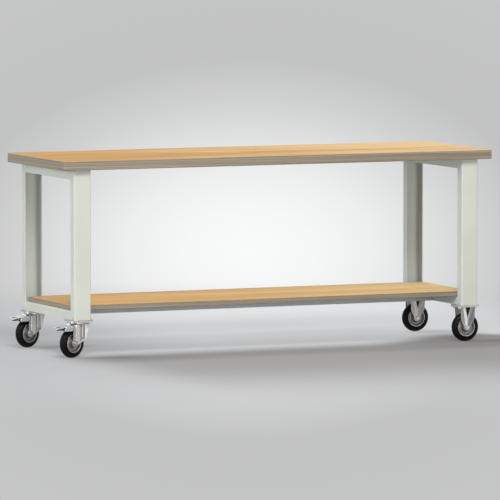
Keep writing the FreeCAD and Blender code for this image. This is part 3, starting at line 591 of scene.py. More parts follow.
@dataclass(frozen=True)
class Rubber(Finish):
    """Moulded black rubber, dull with a soft sheen, and a trace of dust on its tread."""

    colour: Colour = (0.0034, 0.0033, 0.0035)
    dust: Colour = (0.050, 0.046, 0.042)
    centre: Point = (0.0, 0.0, 0.0)
    tread_radius: float = 62.5 * MM
    tread_edge: float = 3.0 * MM
    roughness: float = 0.32

    def paint(self, tree: Tree) -> None:
        """Skinned rubber with its dust on the tread, by the distance from the wheel's middle.

        Args:
            tree: the material's tree.
        """
        place = tree.place()
        settings = {"operation": "DISTANCE"}
        away = tree.add("ShaderNodeVectorMath", settings, {0: place, 1: self.centre}, "Value")
        skin = tree.noise(place, 900.0, 3.0, 0.6)
        cloud = tree.noise(place, 60.0, 4.0, 0.6)
        fine = tree.noise(place, 2600.0, 2.0, 0.5)
        on_tread = away.step(self.tread_radius - self.tread_edge, self.tread_radius)
        dusty = on_tread * 0.06 * cloud.step(0.35, 0.7) + cloud.step(0.5, 0.8) * 0.03
        colour = tree.blend(dusty, self.colour, self.dust)
        rough = self.roughness + cloud * 0.14 + on_tread * 0.12
        bumped = tree.bump(skin * 0.6 + fine * 0.4, 0.05 * MM)
        tree.surface(Base_Color=colour, Roughness=rough, Normal=bumped, Specular_IOR_Level=0.13)


@dataclass(frozen=True)
class MouldedPlastic(Finish):
    """Dark moulded plastic of the wheel bearings."""

    colour: Colour = (0.055, 0.055, 0.058)
    cloud_colour: Colour = (0.085, 0.085, 0.088)

    def paint(self, tree: Tree) -> None:
        """Faintly clouded and grained plastic.

        Args:
            tree: the material's tree.
        """
        place = tree.place()
        grain = tree.noise(place, 1400.0, 3.0, 0.6)
        cloud = tree.noise(place, 120.0, 3.0, 0.5)
        colour = tree.blend(cloud.step(0.3, 0.7) * 0.5, self.colour, self.cloud_colour)
        bumped = tree.bump(grain, 0.03 * MM, tree.rounded(0.4 * MM))
        tree.surface(Base_Color=colour, Roughness=0.42 + grain * 0.12, Normal=bumped)


# ---------------------------------------------------------------------------------- mesh making


@dataclass
class Shell:
    """Closed surface: points, faces of four corners, faces of more, and a value at each point."""

    points: Array
    faces: Array
    caps: list[tuple[int, ...]]
    hollow: Array

    @staticmethod
    def join(shells: Sequence["Shell"]) -> "Shell":
        """Several surfaces as one, with their corners numbered on."""
        firsts = np.cumsum([0] + [len(shell.points) for shell in shells[:-1]])
        pairs = list(zip(shells, firsts.tolist()))
        return Shell(
            np.concatenate([shell.points for shell in shells]),
            np.concatenate([shell.faces + first for shell, first in pairs]),
            [tuple(c + first for c in cap) for shell, first in pairs for cap in shell.caps],
            np.concatenate([shell.hollow for shell in shells]),
        )

    def moved(self, points: Array) -> "Shell":
        """The same surface with other points."""
        return Shell(points, self.faces, self.caps, self.hollow)

    def piece(self, name: str, sharp: float) -> Object:
        """Make the object.

        The painted shade values, below 0 where they are painted highlights, go into a point
        attribute. Doubled points are merged, and the normals are turned outwards.

        Args:
            name: the piece's name.
            sharp: edges that turn by more than this many degrees are shaded sharp.

        Returns:
            The object, linked to the scene.
        """
        mesh = bpy.data.meshes.new(name)
        mesh.from_pydata(self.points.tolist(), [], self.faces.tolist() + self.caps)
        # painted shade and painted highlight, one value a point
        layer = mesh.attributes.new("hollow", "FLOAT", "POINT")
        layer.data.foreach_set("value", self.hollow.astype(np.float32))
        shell = bmesh.new()
        shell.from_mesh(mesh)
        bmesh.ops.remove_doubles(shell, verts=shell.verts, dist=1e-6)
        bmesh.ops.recalc_face_normals(shell, faces=shell.faces)
        shell.to_mesh(mesh)
        shell.free()
        mesh.validate()
        mesh.polygons.foreach_set("use_smooth", [True] * len(mesh.polygons))
        mesh.set_sharp_from_angle(angle=math.radians(sharp))
        return new_object(name, mesh)


def grid_faces(rows: int, columns: int, wrap: bool = False) -> Array:
    """Faces of a grid of points.

    Args:
        rows: number of rows.
        columns: number of points in a row.
        wrap: whether each row closes on itself.

    Returns:
        Four corner numbers a face, row i to row i + 1, point j to point j + 1.
    """
    row, step = np.meshgrid(np.arange(rows - 1), np.arange(columns - (not wrap)), indexing="ij")
    after = (step + 1) % columns
    start = row * columns
    corners = [start + step, start + after, start + columns + after, start + columns + step]
    return np.stack(corners, axis=-1).reshape(-1, 4)


def sheet_shell(outer: Array, inner: Array, hollow: Array) -> Shell:
    """Close a sheet between two grids of points.

    Args:
        outer: the outer face, rows x columns x 3.
        inner: the inner face, likewise.
        hollow: painted shade at each point of the outer face.

    Returns:
        Both faces, joined round their border.
    """
    rows, columns = outer.shape[:2]
    count = rows * columns
    number = np.arange(count).reshape(rows, columns)
    border = np.concatenate([number[0], number[1:, -1], number[-1, -2::-1], number[-2:0:-1, 0]])
    after = np.roll(border, -1)
    rim = np.stack([border, after, after + count, border + count], axis=-1)
    front = grid_faces(rows, columns)
    faces = np.concatenate([front, front[:, ::-1] + count, rim])
    points = np.concatenate([outer.reshape(-1, 3), inner.reshape(-1, 3)])
    return Shell(points, faces, [], np.concatenate([hollow.ravel(), np.full(count, INNER_SHADE)]))


def turned_shell(profile: Array, around: int, upright: bool, hollow: Array) -> Shell:
    """Turn a closed section about an axle.

    A point is (r cos u, a, r sin u), or (r cos u, r sin u, a) about an upright axle.

    Args:
        profile: rows of (radius r, place along the axle a), a closed loop.
        around: number of steps round the axle.
        upright: whether the axle is upright, and not across.
        hollow: painted shade at each point of the section.

    Returns:
        The ring.
    """
    u = np.linspace(0.0, FULL_TURN, around, endpoint=False)
    radius, along = profile[:, 0], profile[:, 1]
    x = radius[None, :] * np.cos(u)[:, None]
    turned = radius[None, :] * np.sin(u)[:, None]
    held = np.broadcast_to(along[None, :], x.shape)
    parts = [x, turned, held] if upright else [x, held, turned]
    points = np.stack(parts, axis=-1).reshape(-1, 3)
    count = len(profile)
    faces = grid_faces(around + 1, count, wrap=True) % (around * count)
    return Shell(points, faces, [], np.tile(hollow, around))


def plate_shell(outline: Array, low: float, high: float, upright: bool) -> Shell:
    """Flat plate: an outline carried from low to high, up, or across where it isn't upright.

    Args:
        outline: rows of two numbers round the plate.
        low: one face.
        high: the other face.
        upright: whether the outline lies flat and is carried up.

    Returns:
        The closed plate.
    """
    count = len(outline)
    levels = np.repeat([low, high], count)
    both = np.tile(outline, (2, 1))
    columns = [both[:, 0], both[:, 1], levels] if upright else [both[:, 0], levels, both[:, 1]]
    caps = [tuple(range(count)), tuple(range(count, 2 * count))]
    faces = grid_faces(2, count, wrap=True)
    return Shell(np.stack(columns, axis=-1), faces, caps, np.zeros(2 * count))


def rounded_outline(corners: Sequence[Point], steps: int = 8) -> Array:
    """Closed outline with rounded corners.

    Each corner p with the cut c becomes (1 - t)^2 (p + c b) + 2 t (1 - t) p + t^2 (p + c f), with
    b and f the directions back and forward along the outline.

    Args:
        corners: rows of (first, second, cut).
        steps: number of steps in each round.

    Returns:
        Rows of two numbers.
    """
    table = np.array(corners)
    p, cut = table[:, :2], table[:, 2:3]
    back = np.roll(p, 1, axis=0) - p
    ahead = np.roll(p, -1, axis=0) - p
    start = p + back / np.linalg.norm(back, axis=1, keepdims=True) * cut
    end = p + ahead / np.linalg.norm(ahead, axis=1, keepdims=True) * cut
    t = np.linspace(0.0, 1.0, steps + 1)[None, :, None]
    rounds = (1 - t) ** 2 * start[:, None] + 2 * t * (1 - t) * p[:, None] + t ** 2 * end[:, None]
    return rounds.reshape(-1, 2)


def rise(value: Array, low: float, high: float) -> Array:
    """Smooth rise 3t^2 - 2t^3 from 0 at low to 1 at high, or a fall where high is below low."""
    t = np.clip((value - low) / (high - low), 0.0, 1.0)
    return t * t * (3.0 - 2.0 * t)


def band_height(
    x: Array, z: Array, start: tuple[float, float], end: tuple[float, float],
    half: float, flank: float,
) -> Array:
    """Raised band with round ends: 1 within half its width of a line, 0 a flank further out.

    Args:
        x: places along the leg's width.
        z: heights.
        start: one end of the middle line.
        end: the other end.
        half: half of the band's width.
        flank: width of its sloping side.

    Returns:
        The band's height at each place, from 0 to 1.
    """
    run = np.array(end) - np.array(start)
    share = ((x - start[0]) * run[0] + (z - start[1]) * run[1]) / float(run @ run)
    share = np.clip(share, 0.0, 1.0)
    away = np.hypot(x - start[0] - share * run[0], z - start[1] - share * run[1])
    return rise(away, half + flank / 2.0, half - flank / 2.0)


def sunk(height: Array, reach: int) -> Array:
    """How far each point lies below the mean of its surroundings, over a square of the grid."""
    padded = np.pad(height, reach, mode="edge")
    total = np.zeros_like(height)
    span = 2 * reach + 1
    for down in range(span):
        for right in range(span):
            total += padded[down:down + height.shape[0], right:right + height.shape[1]]
    return np.clip(total / span ** 2 - height, 0.0, None)


@dataclass(frozen=True)
class Stand:
    """Where a caster stands: its own frame trails its wheel along +X, before it is turned."""

    x: float
    y: float
    heading: float
    trail: float
    axle_height: float

    def at_wheel(self, points: Array) -> Array:
        """Carry points p about the wheel's middle: R (p + (trail, 0, axle height)) + (x, y, 0)."""
        return self.turned(points + np.array([self.trail, 0.0, self.axle_height]))

    def turned(self, points: Array) -> Array:
        """Carry points p about the caster's upright axis: R p + (x, y, 0)."""
        c, s = math.cos(self.heading), math.sin(self.heading)
        turn = np.array([[c, s, 0.0], [-s, c, 0.0], [0.0, 0.0, 1.0]])
        return points @ turn + np.array([self.x, self.y, 0.0])

    def wheel_middle(self) -> Point:
        """The wheel's middle in the table's frame."""
        return tuple(self.at_wheel(np.zeros((1, 3)))[0].tolist())


# ------------------------------------------------------------------------------- sub-assemblies


def dress(material: Material, *nodes: str) -> None:
    """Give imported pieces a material.

    Args:
        material: the finish.
        nodes: names of the pieces.
    """
    for name in nodes:
        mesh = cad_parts[name].data
        mesh.materials.clear()
        mesh.materials.append(material)
        LOG.info("%s wears %s", name, material.name)


def add_piece(
    piece: Object, body: str, material: Material, node: str = ""
) -> None:
    """Dress a new piece and let it ride.

    Args:
        piece: the new object.
        body: the body it moves with.
        material: its finish.
        node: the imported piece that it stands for, if any.
    """
    piece.data.materials.append(material)
    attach(piece, body)
    if node:
        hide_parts(node)
    LOG.info("%s: %d faces, rides on %s", piece.name, len(piece.data.polygons), body)


@dataclass
class Boards:
    """The worktop and the shelf."""

    worktop_plies: int = 19
    shelf_plies: int = 11
    # the shelf's veneer is paler than the worktop's: painted light against the shade under the
    # worktop
    shelf_lit_pale: Colour = (0.945, 0.650, 0.310)
    shelf_lit_deep: Colour = (0.760, 0.440, 0.155)

    def dress(self) -> None:
        """Give both boards their multiplex."""
        for node, plies in (("worktop", self.worktop_plies), ("shelf_board", self.shelf_plies)):
            low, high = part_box(node)
            finish = Multiplex("multiplex_of_" + node, low.z, high.z - low.z, plies)
            if node == "shelf_board":
                # paler shelf veneer as painted light
                finish = replace(finish, pale=self.shelf_lit_pale, deep=self.shelf_lit_deep)
            dress(finish.material(), node)


@dataclass(frozen=True)
class WeldBeads:
    """Rippled weld beads where the beams meet the legs."""

    radius: float = 1.3 * MM
    flatness: float = 0.5
    ripple: float = 0.16
    pitch: float = 2.1 * MM
    below: float = 3.0 * MM
    above: float = 1.5 * MM
    along: int = 64
    around: int = 10

    def _bead(self, x: float, y: float, low: float, high: float) -> Shell:
        """One upright bead.

        Its radius is r (1 + q sin(2 pi s / p)) at the length s along it, and falls to a point at
        both ends as the root of sin.

        Args:
            x: its place along the table.
            y: its place across it.
            low: its lower end.
            high: its upper end.

        Returns:
            The bead.
        """
        z = np.linspace(low, high, self.along)
        share = (z - low) / (high - low)
        ends = np.sqrt(np.clip(np.sin(math.pi * share) * 6.0, 0.0, 1.0))
        ends = np.where((share <= 0.0) | (share >= 1.0), 0.02, ends)
        radius = self.radius * ends * (1.0 + self.ripple * np.sin(FULL_TURN * z / self.pitch))
        u = np.linspace(0.0, FULL_TURN, self.around, endpoint=False)
        ring_x = x + radius[:, None] * np.cos(u)[None, :] * self.flatness
        ring_y = y + radius[:, None] * np.sin(u)[None, :]
        ring_z = np.broadcast_to(z[:, None], ring_x.shape)
        points = np.stack([ring_x, ring_y, ring_z], axis=-1).reshape(-1, 3)
        last = len(points) - self.around
        caps = [tuple(range(self.around)), tuple(range(last, len(points)))]
        faces = grid_faces(len(z), self.around, wrap=True)
        return Shell(points, faces, caps, np.zeros(len(points)))

    def build(self, name: str) -> Object:
        """Lay a bead at both ends of every beam, on its outer and its inner face.

        Args:
            name: the piece's name.

        Returns:
            All the beads, in place.
        """
        beads = []
        for node in ("top_beam_left", "top_beam_right", "bottom_beam_left", "bottom_beam_right"):
            low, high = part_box(node)
            ends = low.z + self.above, high.z - self.below
            beads += [self._bead(x, y, *ends) for x in (low.x, high.x) for y in (low.y, high.y)]
        return Shell.join(beads).piece(name, 60.0)


@dataclass
class SteelFrame:
    """Legs, beams, rail and feet."""

    paint: PowderCoat = PowderCoat(
        "frame_coat", (0.652, 0.660, 0.586), (0.750, 0.762, 0.700),
        # cooler, paler painted light inside the legs' channels
        channel_light_colour=(0.725, 0.770, 0.745),
    )
    rail_paint: PowderCoat = PowderCoat("rail_coat", (0.640, 0.665, 0.645), (0.700, 0.720, 0.700))
    foot_plating: PlatedSteel = PlatedSteel(
        "zinc_feet", colour=(0.63, 0.63, 0.61), cloud_colour=(0.42, 0.425, 0.42), roughness=0.38
    )
    beads: WeldBeads = WeldBeads()

    def build(self) -> None:
        """Give the frame its powder coat, and lay its weld beads."""
        coat = self.paint.material()
        feet = self.foot_plating.material()
        for corner in Corner:
            dress(coat, "leg_" + corner.value)
            dress(feet, "foot_bracket_" + corner.value)
        for end in ("left", "right"):
            dress(coat, "top_beam_" + end, "bottom_beam_" + end)
        dress(self.rail_paint.material(), "centre_rail")
        add_piece(self.beads.build("weld_beads"), "bench", coat)


@dataclass
class Fasteners:
    """Screws, bolts, nuts and pins that aren't part of a wheel."""

    finish: PlatedSteel = PlatedSteel("zinc_fasteners", roughness=0.30, edge_radius=0.35 * MM)
    # darker, rougher plating on the swivel casters' axle bolts and nuts
    dark_plating: PlatedSteel = PlatedSteel(
        "zinc_axles", colour=(0.50, 0.49, 0.47), cloud_colour=(0.40, 0.39, 0.38),
        edge_highlight_colour=(0.62, 0.61, 0.59), roughness=0.46, edge_radius=0.35 * MM,
    )

    def dress(self) -> None:
        """Give the fasteners their plating."""
        plating = self.finish.material()
        dress(
            plating, "worktop_screws", "shelf_screws", "rail_bolts", "leg_bolts", "leg_nuts",
            "caster_bolts", "kingpins", "kingpin_nuts", "fixed_axle_bolts", "fixed_axle_nuts",
        )
        dark_plating = self.dark_plating.material()
        for corner in Corner:
            if corner.is_left:
                dress(dark_plating, "axle_bolt_" + corner.value, "axle_nut_" + corner.value)


@dataclass(frozen=True)
class CasterPiece:
    """A piece of a caster that is made of mesh code."""

    sharp: float = 35.0
    at_wheel: bool = False

    def shell(self) -> Shell:
        """The piece's surface, about the caster's upright axis or about its wheel's middle."""
        raise NotImplementedError

    def build(self, name: str, stand: Stand) -> Object:
        """Make the piece.

        Args:
            name: the piece's name.
            stand: where its caster stands.

        Returns:
            The piece, in place.
        """
        shell = self.shell()
        placed = stand.at_wheel if self.at_wheel else stand.turned
        return shell.moved(placed(shell.points)).piece(name, self.sharp)


@dataclass(frozen=True)
class Tyre(CasterPiece):
    """Solid rubber tyre: a round tread with a mould line, two fine grooves and a stepped wall."""

    sharp: float = 60.0
    at_wheel: bool = True
    radius: float = 62.5 * MM
    seat_radius: float = 39.5 * MM
    half_width: float = 18.0 * MM
    seat_half: float = 15.0 * MM
    tread_round: float = 17.5 * MM
    wall_foot: float = 42.5 * MM
    skin: float = 0.30 * MM
    line_width: float = 0.55 * MM
    groove_place: float = 11.0 * MM
    groove_width: float = 0.70 * MM
    groove_depth: float = 0.55 * MM
    step_radius: float = 46.5 * MM
    step_width: float = 0.8 * MM
    bevel: tuple[float, ...] = mm(0.6, 0.9)
    over_tread: int = 44
    up_wall: int = 9
    around: int = 144

    def _profile(self) -> Array:
        """Closed section of the tyre.

        The tread is the arc (a, r) = (h + R cos t, c + R sin t) with R the tread's round, moved
        inwards by the skin. The mould line rises from it as exp(-(a / w)^2), and each groove
        sinks as exp(-((|a| - g) / w)^2).

        Returns:
            Rows of (radius, across), from the seat's one end over the tread and back.
        """
        half_flat = self.half_width - self.tread_round
        centre = self.radius - self.tread_round
        turn = np.linspace(0.0, QUARTER_TURN, self.over_tread)
        arc_across = half_flat + self.tread_round * np.cos(turn)
        wall = np.linspace(self.wall_foot, centre, self.up_wall)[:-1]
        across = np.concatenate([np.full(wall.size, self.half_width), arc_across])
        radius = np.concatenate([wall, centre + self.tread_round * np.sin(turn)])
        out = np.concatenate([np.zeros(wall.size), turn])
        line = np.exp(-((across / self.line_width) ** 2))
        groove = np.exp(-(((across - self.groove_place) / self.groove_width) ** 2))
        on_wall = 1.0 / (1.0 + np.exp((radius - self.step_radius) / (self.step_width / 4.0)))
        lift = self.skin * (line + on_wall - 1.0) - self.groove_depth * groove
        lift = np.minimum(lift, 0.0)
        side = np.stack([radius + lift * np.sin(out), across + lift * np.cos(out)], axis=1)
        low, inward = self.wall_foot - self.bevel[1], self.half_width - self.bevel[0]
        half = np.concatenate([[[self.seat_radius, self.seat_half], [low, inward]], side])
        mirrored = half[::-1] * np.array([1.0, -1.0])
        return np.concatenate([half, mirrored[1:]])

    def shell(self) -> Shell:
        """The section, turned about the axle."""
        profile = self._profile()
        return turned_shell(profile, self.around, False, np.zeros(len(profile)))


@dataclass(frozen=True)
class Rim(CasterPiece):
    """Pressed steel rim: hub, dished web with a raised ring, and a rolled lip."""

    sharp: float = 50.0
    at_wheel: bool = True
    bore: float = 10.0 * MM
    hub_radius: float = 16.0 * MM
    hub_half: float = 22.0 * MM
    web_half: float = 5.5 * MM
    ring_radius: float = 26.5 * MM
    ring_height: float = 2.2 * MM
    ring_spread: float = 2.4 * MM
    barrel: float = 36.5 * MM
    seat: float = 39.5 * MM
    lip_half: float = 16.5 * MM
    lip_round: float = 1.0 * MM
    lip_edge: float = 1.2 * MM
    over_web: int = 46
    over_lip: int = 6
    around: int = 96

    def shell(self) -> Shell:
        """The section, turned about the axle.

        The web stands out by w + h exp(-((r - ring) / spread)^2), and rises to the hub by the
        ninth power of the way left to the lip, and to the lip by the twelfth power of the way
        from the hub. Painted shade lies in the dished web, strongest where the ring isn't.

        Returns:
            The rim about the wheel's middle.
        """
        radius = np.linspace(self.hub_radius, self.barrel, self.over_web)
        way = (radius - self.hub_radius) / (self.barrel - self.hub_radius)
        ring = self.ring_height * np.exp(-(((radius - self.ring_radius) / self.ring_spread) ** 2))
        to_hub = (self.hub_half - self.lip_round - self.web_half) * (1.0 - way) ** 9
        to_lip = (self.lip_half - self.lip_round - self.web_half) * way ** 12
        web = np.stack([radius, self.web_half + ring + to_hub + to_lip], axis=1)
        turn = np.linspace(0.0, QUARTER_TURN, self.over_lip)
        lip_radius = self.barrel + self.lip_round * (1.0 - np.cos(turn))
        lip_across = self.lip_half - self.lip_round * (1.0 - np.sin(turn))
        lip = np.stack([lip_radius, lip_across], axis=1)
        hub = [[self.bore, self.hub_half], [self.hub_radius - self.lip_round, self.hub_half]]
        edge = [[self.seat, self.lip_half], [self.seat, self.lip_half - self.lip_edge]]
        half = np.concatenate([hub, web, lip, edge])
        section = np.concatenate([half, half[::-1] * np.array([1.0, -1.0])])
        # painted shade in the dished web, away from the raised ring
        depth = np.zeros(len(half))
        depth[len(hub):len(hub) + len(web)] = 1.0 - np.clip(ring / self.ring_height, 0.0, 1.0)
        return turned_shell(section, self.around, False, np.concatenate([depth, depth[::-1]]))


@dataclass(frozen=True)
class Fork(CasterPiece):
    """Pressed fork, whose legs end below in a round foot about the axle."""

    outer: float = 26.0 * MM
    sheet: float = 3.0 * MM
    axle_height: float = 62.5 * MM
    foot: float = 13.0 * MM
    rib: float = 2.9 * MM
    head_room: tuple[float, ...] = mm(8.5, 10.5)
    skin: float = 0.05 * MM

    def _foot_heights(self) -> Array:
        """Heights along the lower half of the foot's circle."""
        return self.axle_height - self.foot * np.cos(np.linspace(0.0, QUARTER_TURN, ARC_STEPS))

    def _foot_half(self, z: Array) -> Array:
        """Half of the foot's width, sqrt(f^2 - (z - a)^2), at each height."""
        return np.sqrt(np.clip(self.foot ** 2 - (z - self.axle_height) ** 2, 0.0, None))


@dataclass(frozen=True)
class SwivelFork(Fork):
    """Pressed fork of a swivel caster: two ribbed legs under a round crown with a collar."""

    trail: float = 40.0 * MM
    crown_top: float = 145.5 * MM
    crown_reach: float = 9.0 * MM
    bend: float = 6.0 * MM
    knee: float = 51.0 * MM
    lead_corners: tuple[Point, ...] = (
        mm(33.9, 51.0, 0.2), mm(-14.0, 76.5, 7.0), mm(-38.0, 145.5, 0.2), mm(60.0, 145.5, 0.1),
    )
    trail_corners: tuple[Point, ...] = (
        mm(53.0, 62.5, 0.2), mm(50.0, 133.0, 4.0), mm(43.0, 145.5, 0.2), mm(0.0, 100.0, 0.1),
    )
    flank: float = 3.0 * MM
    bands: tuple[tuple[Any, ...], ...] = (
        (mm(28.0, 76.5), mm(28.0, 129.0), 13.6 * MM),
        (mm(2.5, 88.5), mm(2.5, 140.0), 3.2 * MM),
        (mm(-9.5, 77.5), mm(37.5, 56.5), 3.4 * MM),
    )
    rib_top: tuple[float, ...] = mm(146.0, 139.0)
    panel_edge: tuple[float, ...] = mm(-11.5, -14.0)
    panel_top: tuple[float, ...] = mm(144.0, 142.0)
    up: int = 84
    across: int = 90
    ear_corners: tuple[Point, ...] = (
        mm(42.0, 121.0, 0.2), mm(67.0, 121.0, 4.0), mm(67.0, 136.0, 4.0), mm(42.0, 136.0, 0.2),
    )
    crown_corners: tuple[Point, ...] = (
        mm(6.5, 142.5, 0.1), mm(35.0, 142.5, 1.5), mm(35.0, 150.5, 1.0), mm(31.5, 150.5, 0.6),
        mm(31.5, 145.5, 0.4), mm(6.5, 145.5, 0.1),
    )
    ear_inset: float = 0.1 * MM

    def _edges(self, z: Array) -> tuple[Array, Array]:
        """Leading and trailing edge of a leg at each height.

        Under the axle both follow the circle x = c -+ sqrt(f^2 - (z - a)^2) of the foot, and
        above it straight runs with rounded knees.

        Args:
            z: the heights.

        Returns:
            The place of the leading edge and of the trailing edge.
        """
        # the lines are open: they run from inside the first round to inside the third one
        lead_line = rounded_outline(self.lead_corners)[5:-13]
        trail_line = rounded_outline(self.trail_corners)[5:-14]
        below = self._foot_half(z)
        lead = np.interp(z, lead_line[:, 1], lead_line[:, 0])
        trail = np.interp(z, trail_line[:, 1], trail_line[:, 0])
        lead = np.where(z < self.knee, self.trail - below, lead)
        trail = np.where(z < self.axle_height, self.trail + below, trail)
        return lead, trail

    def _height(self, x: Array, z: Array) -> Array:
        """Height of the pressed ribs, from 0 to 1.

        Args:
            x: places along the leg's width.
            z: heights along the path.

        Returns:
            The largest of a broad band, a narrow band, the band along the foot and the panel
            along the leading edge, with room left for the axle's head.
        """
        height = self._panel(x, z)
        for start, end, half in self.bands:
            height = np.maximum(height, band_height(x, z, start, end, half, self.flank))
        head = np.hypot(x - self.trail, z - self.axle_height)
        return height * rise(z, *self.rib_top) * rise(head, *self.head_room)

    def _panel(self, x: Array, z: Array) -> Array:
        """Raised panel along the leading edge, from 0 to 1."""
        return rise(x, *self.panel_edge) * rise(z, *self.panel_top)

    def _leg(self, side: float) -> Shell:
        """One leg with its bend into the crown.

        The path goes up from the foot, turns by a quarter circle of the bend's radius and ends
        under the crown. The outer face lies on it, moved outwards by the ribs' height, and the
        inner face a sheet's thickness further in.

        Args:
            side: 1 or -1, the side of the wheel that the leg is on.

        Returns:
            The leg in the caster's own frame.
        """
        turn = np.linspace(0.0, QUARTER_TURN, ARC_STEPS)[1:]
        foot_z = self._foot_heights()
        shaft_z = np.linspace(self.axle_height, self.crown_top - self.bend, self.up)[1:]
        arc_y = self.outer - self.bend * (1.0 - np.cos(turn))
        arc_z = self.crown_top - self.bend * (1.0 - np.sin(turn))
        crown_y = np.linspace(self.outer - self.bend, self.crown_reach, 6)[1:]
        upright = len(foot_z) + len(shaft_z)
        y = np.concatenate([np.full(upright, self.outer), arc_y, crown_y])
        z = np.concatenate([foot_z, shaft_z, arc_z, np.full(len(crown_y), self.crown_top)])
        out = np.concatenate([np.zeros(upright), turn, np.full(len(crown_y), QUARTER_TURN)])
        lead, trail = self._edges(z)
        across = np.linspace(0.0, 1.0, self.across)[None, :]
        x = lead[:, None] + (trail - lead)[:, None] * across
        level = np.broadcast_to(z[:, None], x.shape)
        height = self._height(x, level)
        lift = height * self.rib - self.skin
        grids = []
        for depth in (lift, lift * 0.8 - self.sheet):
            grid_y = y[:, None] + depth * np.cos(out)[:, None]
            grid_z = z[:, None] + depth * np.sin(out)[:, None]
            grids.append(np.stack([x, side * grid_y, grid_z], axis=-1))
        # painted shade in the sunken parts between the ribs, and painted highlight on the ribs and
        # the panel
        tone = np.clip(sunk(height, 4) * 3.2, 0.0, 1.0)
        tone = tone - 0.42 * height - 0.50 * self._panel(x, level)
        return sheet_shell(grids[0], grids[1], np.clip(tone, -1.0, 1.0))

    def shell(self) -> Shell:
        """The fork's legs, ears and crown, which is turned about the kingpin."""
        section = rounded_outline(self.crown_corners, 5)
        crown = turned_shell(section, 120, True, np.zeros(len(section)))
        ear = rounded_outline(self.ear_corners)
        low, high = self.outer - self.sheet + self.ear_inset, self.outer - self.ear_inset
        ears = [plate_shell(ear, low, high, False), plate_shell(ear, -high, -low, False)]
        return Shell.join([self._leg(1.0), self._leg(-1.0), crown, *ears])


@dataclass(frozen=True)
class FixedFork(Fork):
    """Pressed fork of a fixed caster: a plate, and two legs with ribs that meet over the axle."""

    top_outer: float = 37.0 * MM
    half_width: float = 32.0 * MM
    knee: float = 80.0 * MM
    shoulder: float = 96.0 * MM
    plate_low: float = 151.5 * MM
    plate_high: float = 155.0 * MM
    plate_corners: tuple[Point, ...] = (
        mm(-50.0, -42.5, 8.0), mm(50.0, -42.5, 8.0), mm(50.0, 42.5, 8.0), mm(-50.0, 42.5, 8.0),
    )
    bands: tuple[tuple[Any, ...], ...] = (
        (mm(21.0, 158.0), mm(4.0, 74.0), *mm(7.0, 5.0)),
        (mm(-20.0, 158.0), mm(-3.0, 80.0), *mm(7.2, 9.0)),
    )
    dent: float = 1.8 * MM
    dent_foot: float = 107.5 * MM
    dent_height: float = 42.0 * MM
    dent_sides: tuple[float, ...] = mm(18.0, 9.0)
    dent_flank: tuple[float, ...] = mm(-1.8, 0.8)
    dent_top: tuple[float, ...] = mm(151.5, 150.0)
    into_plate: float = 0.5 * MM
    up: int = 92
    across: int = 81
    lean_round: float = 3.0 * MM

    def _half_width(self, z: Array) -> Array:
        """Half of a leg's width at each height: the foot's circle, then a taper, then even."""
        line = rounded_outline([
            (self.foot, self.axle_height, 0.2 * MM), (self.half_width, self.shoulder, 6.0 * MM),
            (self.half_width, self.plate_high, 0.2 * MM), (0.0, self.plate_high, 0.1 * MM),
        ])[5:-13]
        above = np.interp(z, line[:, 1], line[:, 0])
        return np.where(z < self.axle_height, self._foot_half(z), above)

    def _height(self, x: Array, z: Array) -> Array:
        """Height of the ribs and depth of the dent, in metres.

        Args:
            x: places along the leg's width.
            z: heights.

        Returns:
            Two bands from the plate's sides to above the axle, less a three-cornered dent
            between them, which is the product of a smooth rise inside each of its sides.
        """
        ribs = np.maximum(*(band_height(x, z, *band) for band in self.bands))
        rows = (z - self.dent_foot) / self.dent_height
        right, left = self.dent_sides
        inside = np.minimum(right * rows - x, left * rows + x)
        dent = rise(inside, *self.dent_flank) * rise(z, *self.dent_top)
        ribs = ribs * rise(np.hypot(x, z - self.axle_height), *self.head_room)
        return ribs * self.rib - dent * self.dent

    def _leg(self, side: float) -> Shell:
        """One leg, upright up to its knee and then leaning out to the plate.

        Args:
            side: 1 or -1, the side of the wheel that the leg is on.

        Returns:
            The leg about the caster's upright axis.
        """
        shaft_z = np.linspace(self.axle_height, self.plate_low + self.into_plate, self.up)[1:]
        z = np.concatenate([self._foot_heights(), shaft_z])
        slope = (self.top_outer - self.outer) / (self.plate_high - self.knee)
        lean = self.lean_round * np.log1p(np.exp((z - self.knee) / self.lean_round))
        y = (self.outer + slope * lean - self.skin)[:, None]
        x = self._half_width(z)[:, None] * np.linspace(-1.0, 1.0, self.across)[None, :]
        level = np.broadcast_to(z[:, None], x.shape)
        height = self._height(x, level)
        outer = np.stack([x, side * (y + height), level], axis=-1)
        under = np.clip(height, 0.0, None) * 0.8 - self.sheet
        inner = np.stack([x, side * (y + under), level], axis=-1)
        # painted shade in the sunken parts and the dent, and towards the side of negative x;
        # painted highlight on the crest of the rib at positive x
        share = (height + self.dent) / (self.rib + self.dent)
        low = rise(height, -0.2 * self.dent, -self.dent) * 0.85
        painted_highlight = rise(height, 0.2 * self.rib, self.rib) * rise(x, -2.0 * MM, 4.0 * MM)
        shade = 0.10 + 0.28 * rise(x, 4.0 * MM, -8.0 * MM)
        hollow = np.clip(sunk(share, 5) * 1.2 + low + shade - painted_highlight, -1.0, 1.0)
        return sheet_shell(outer, inner, hollow)

    def shell(self) -> Shell:
        """The fork's legs and its plate."""
        outline = rounded_outline(self.plate_corners)
        plate = plate_shell(outline, self.plate_low, self.plate_high, True)
        return Shell.join([self._leg(1.0), self._leg(-1.0), plate])


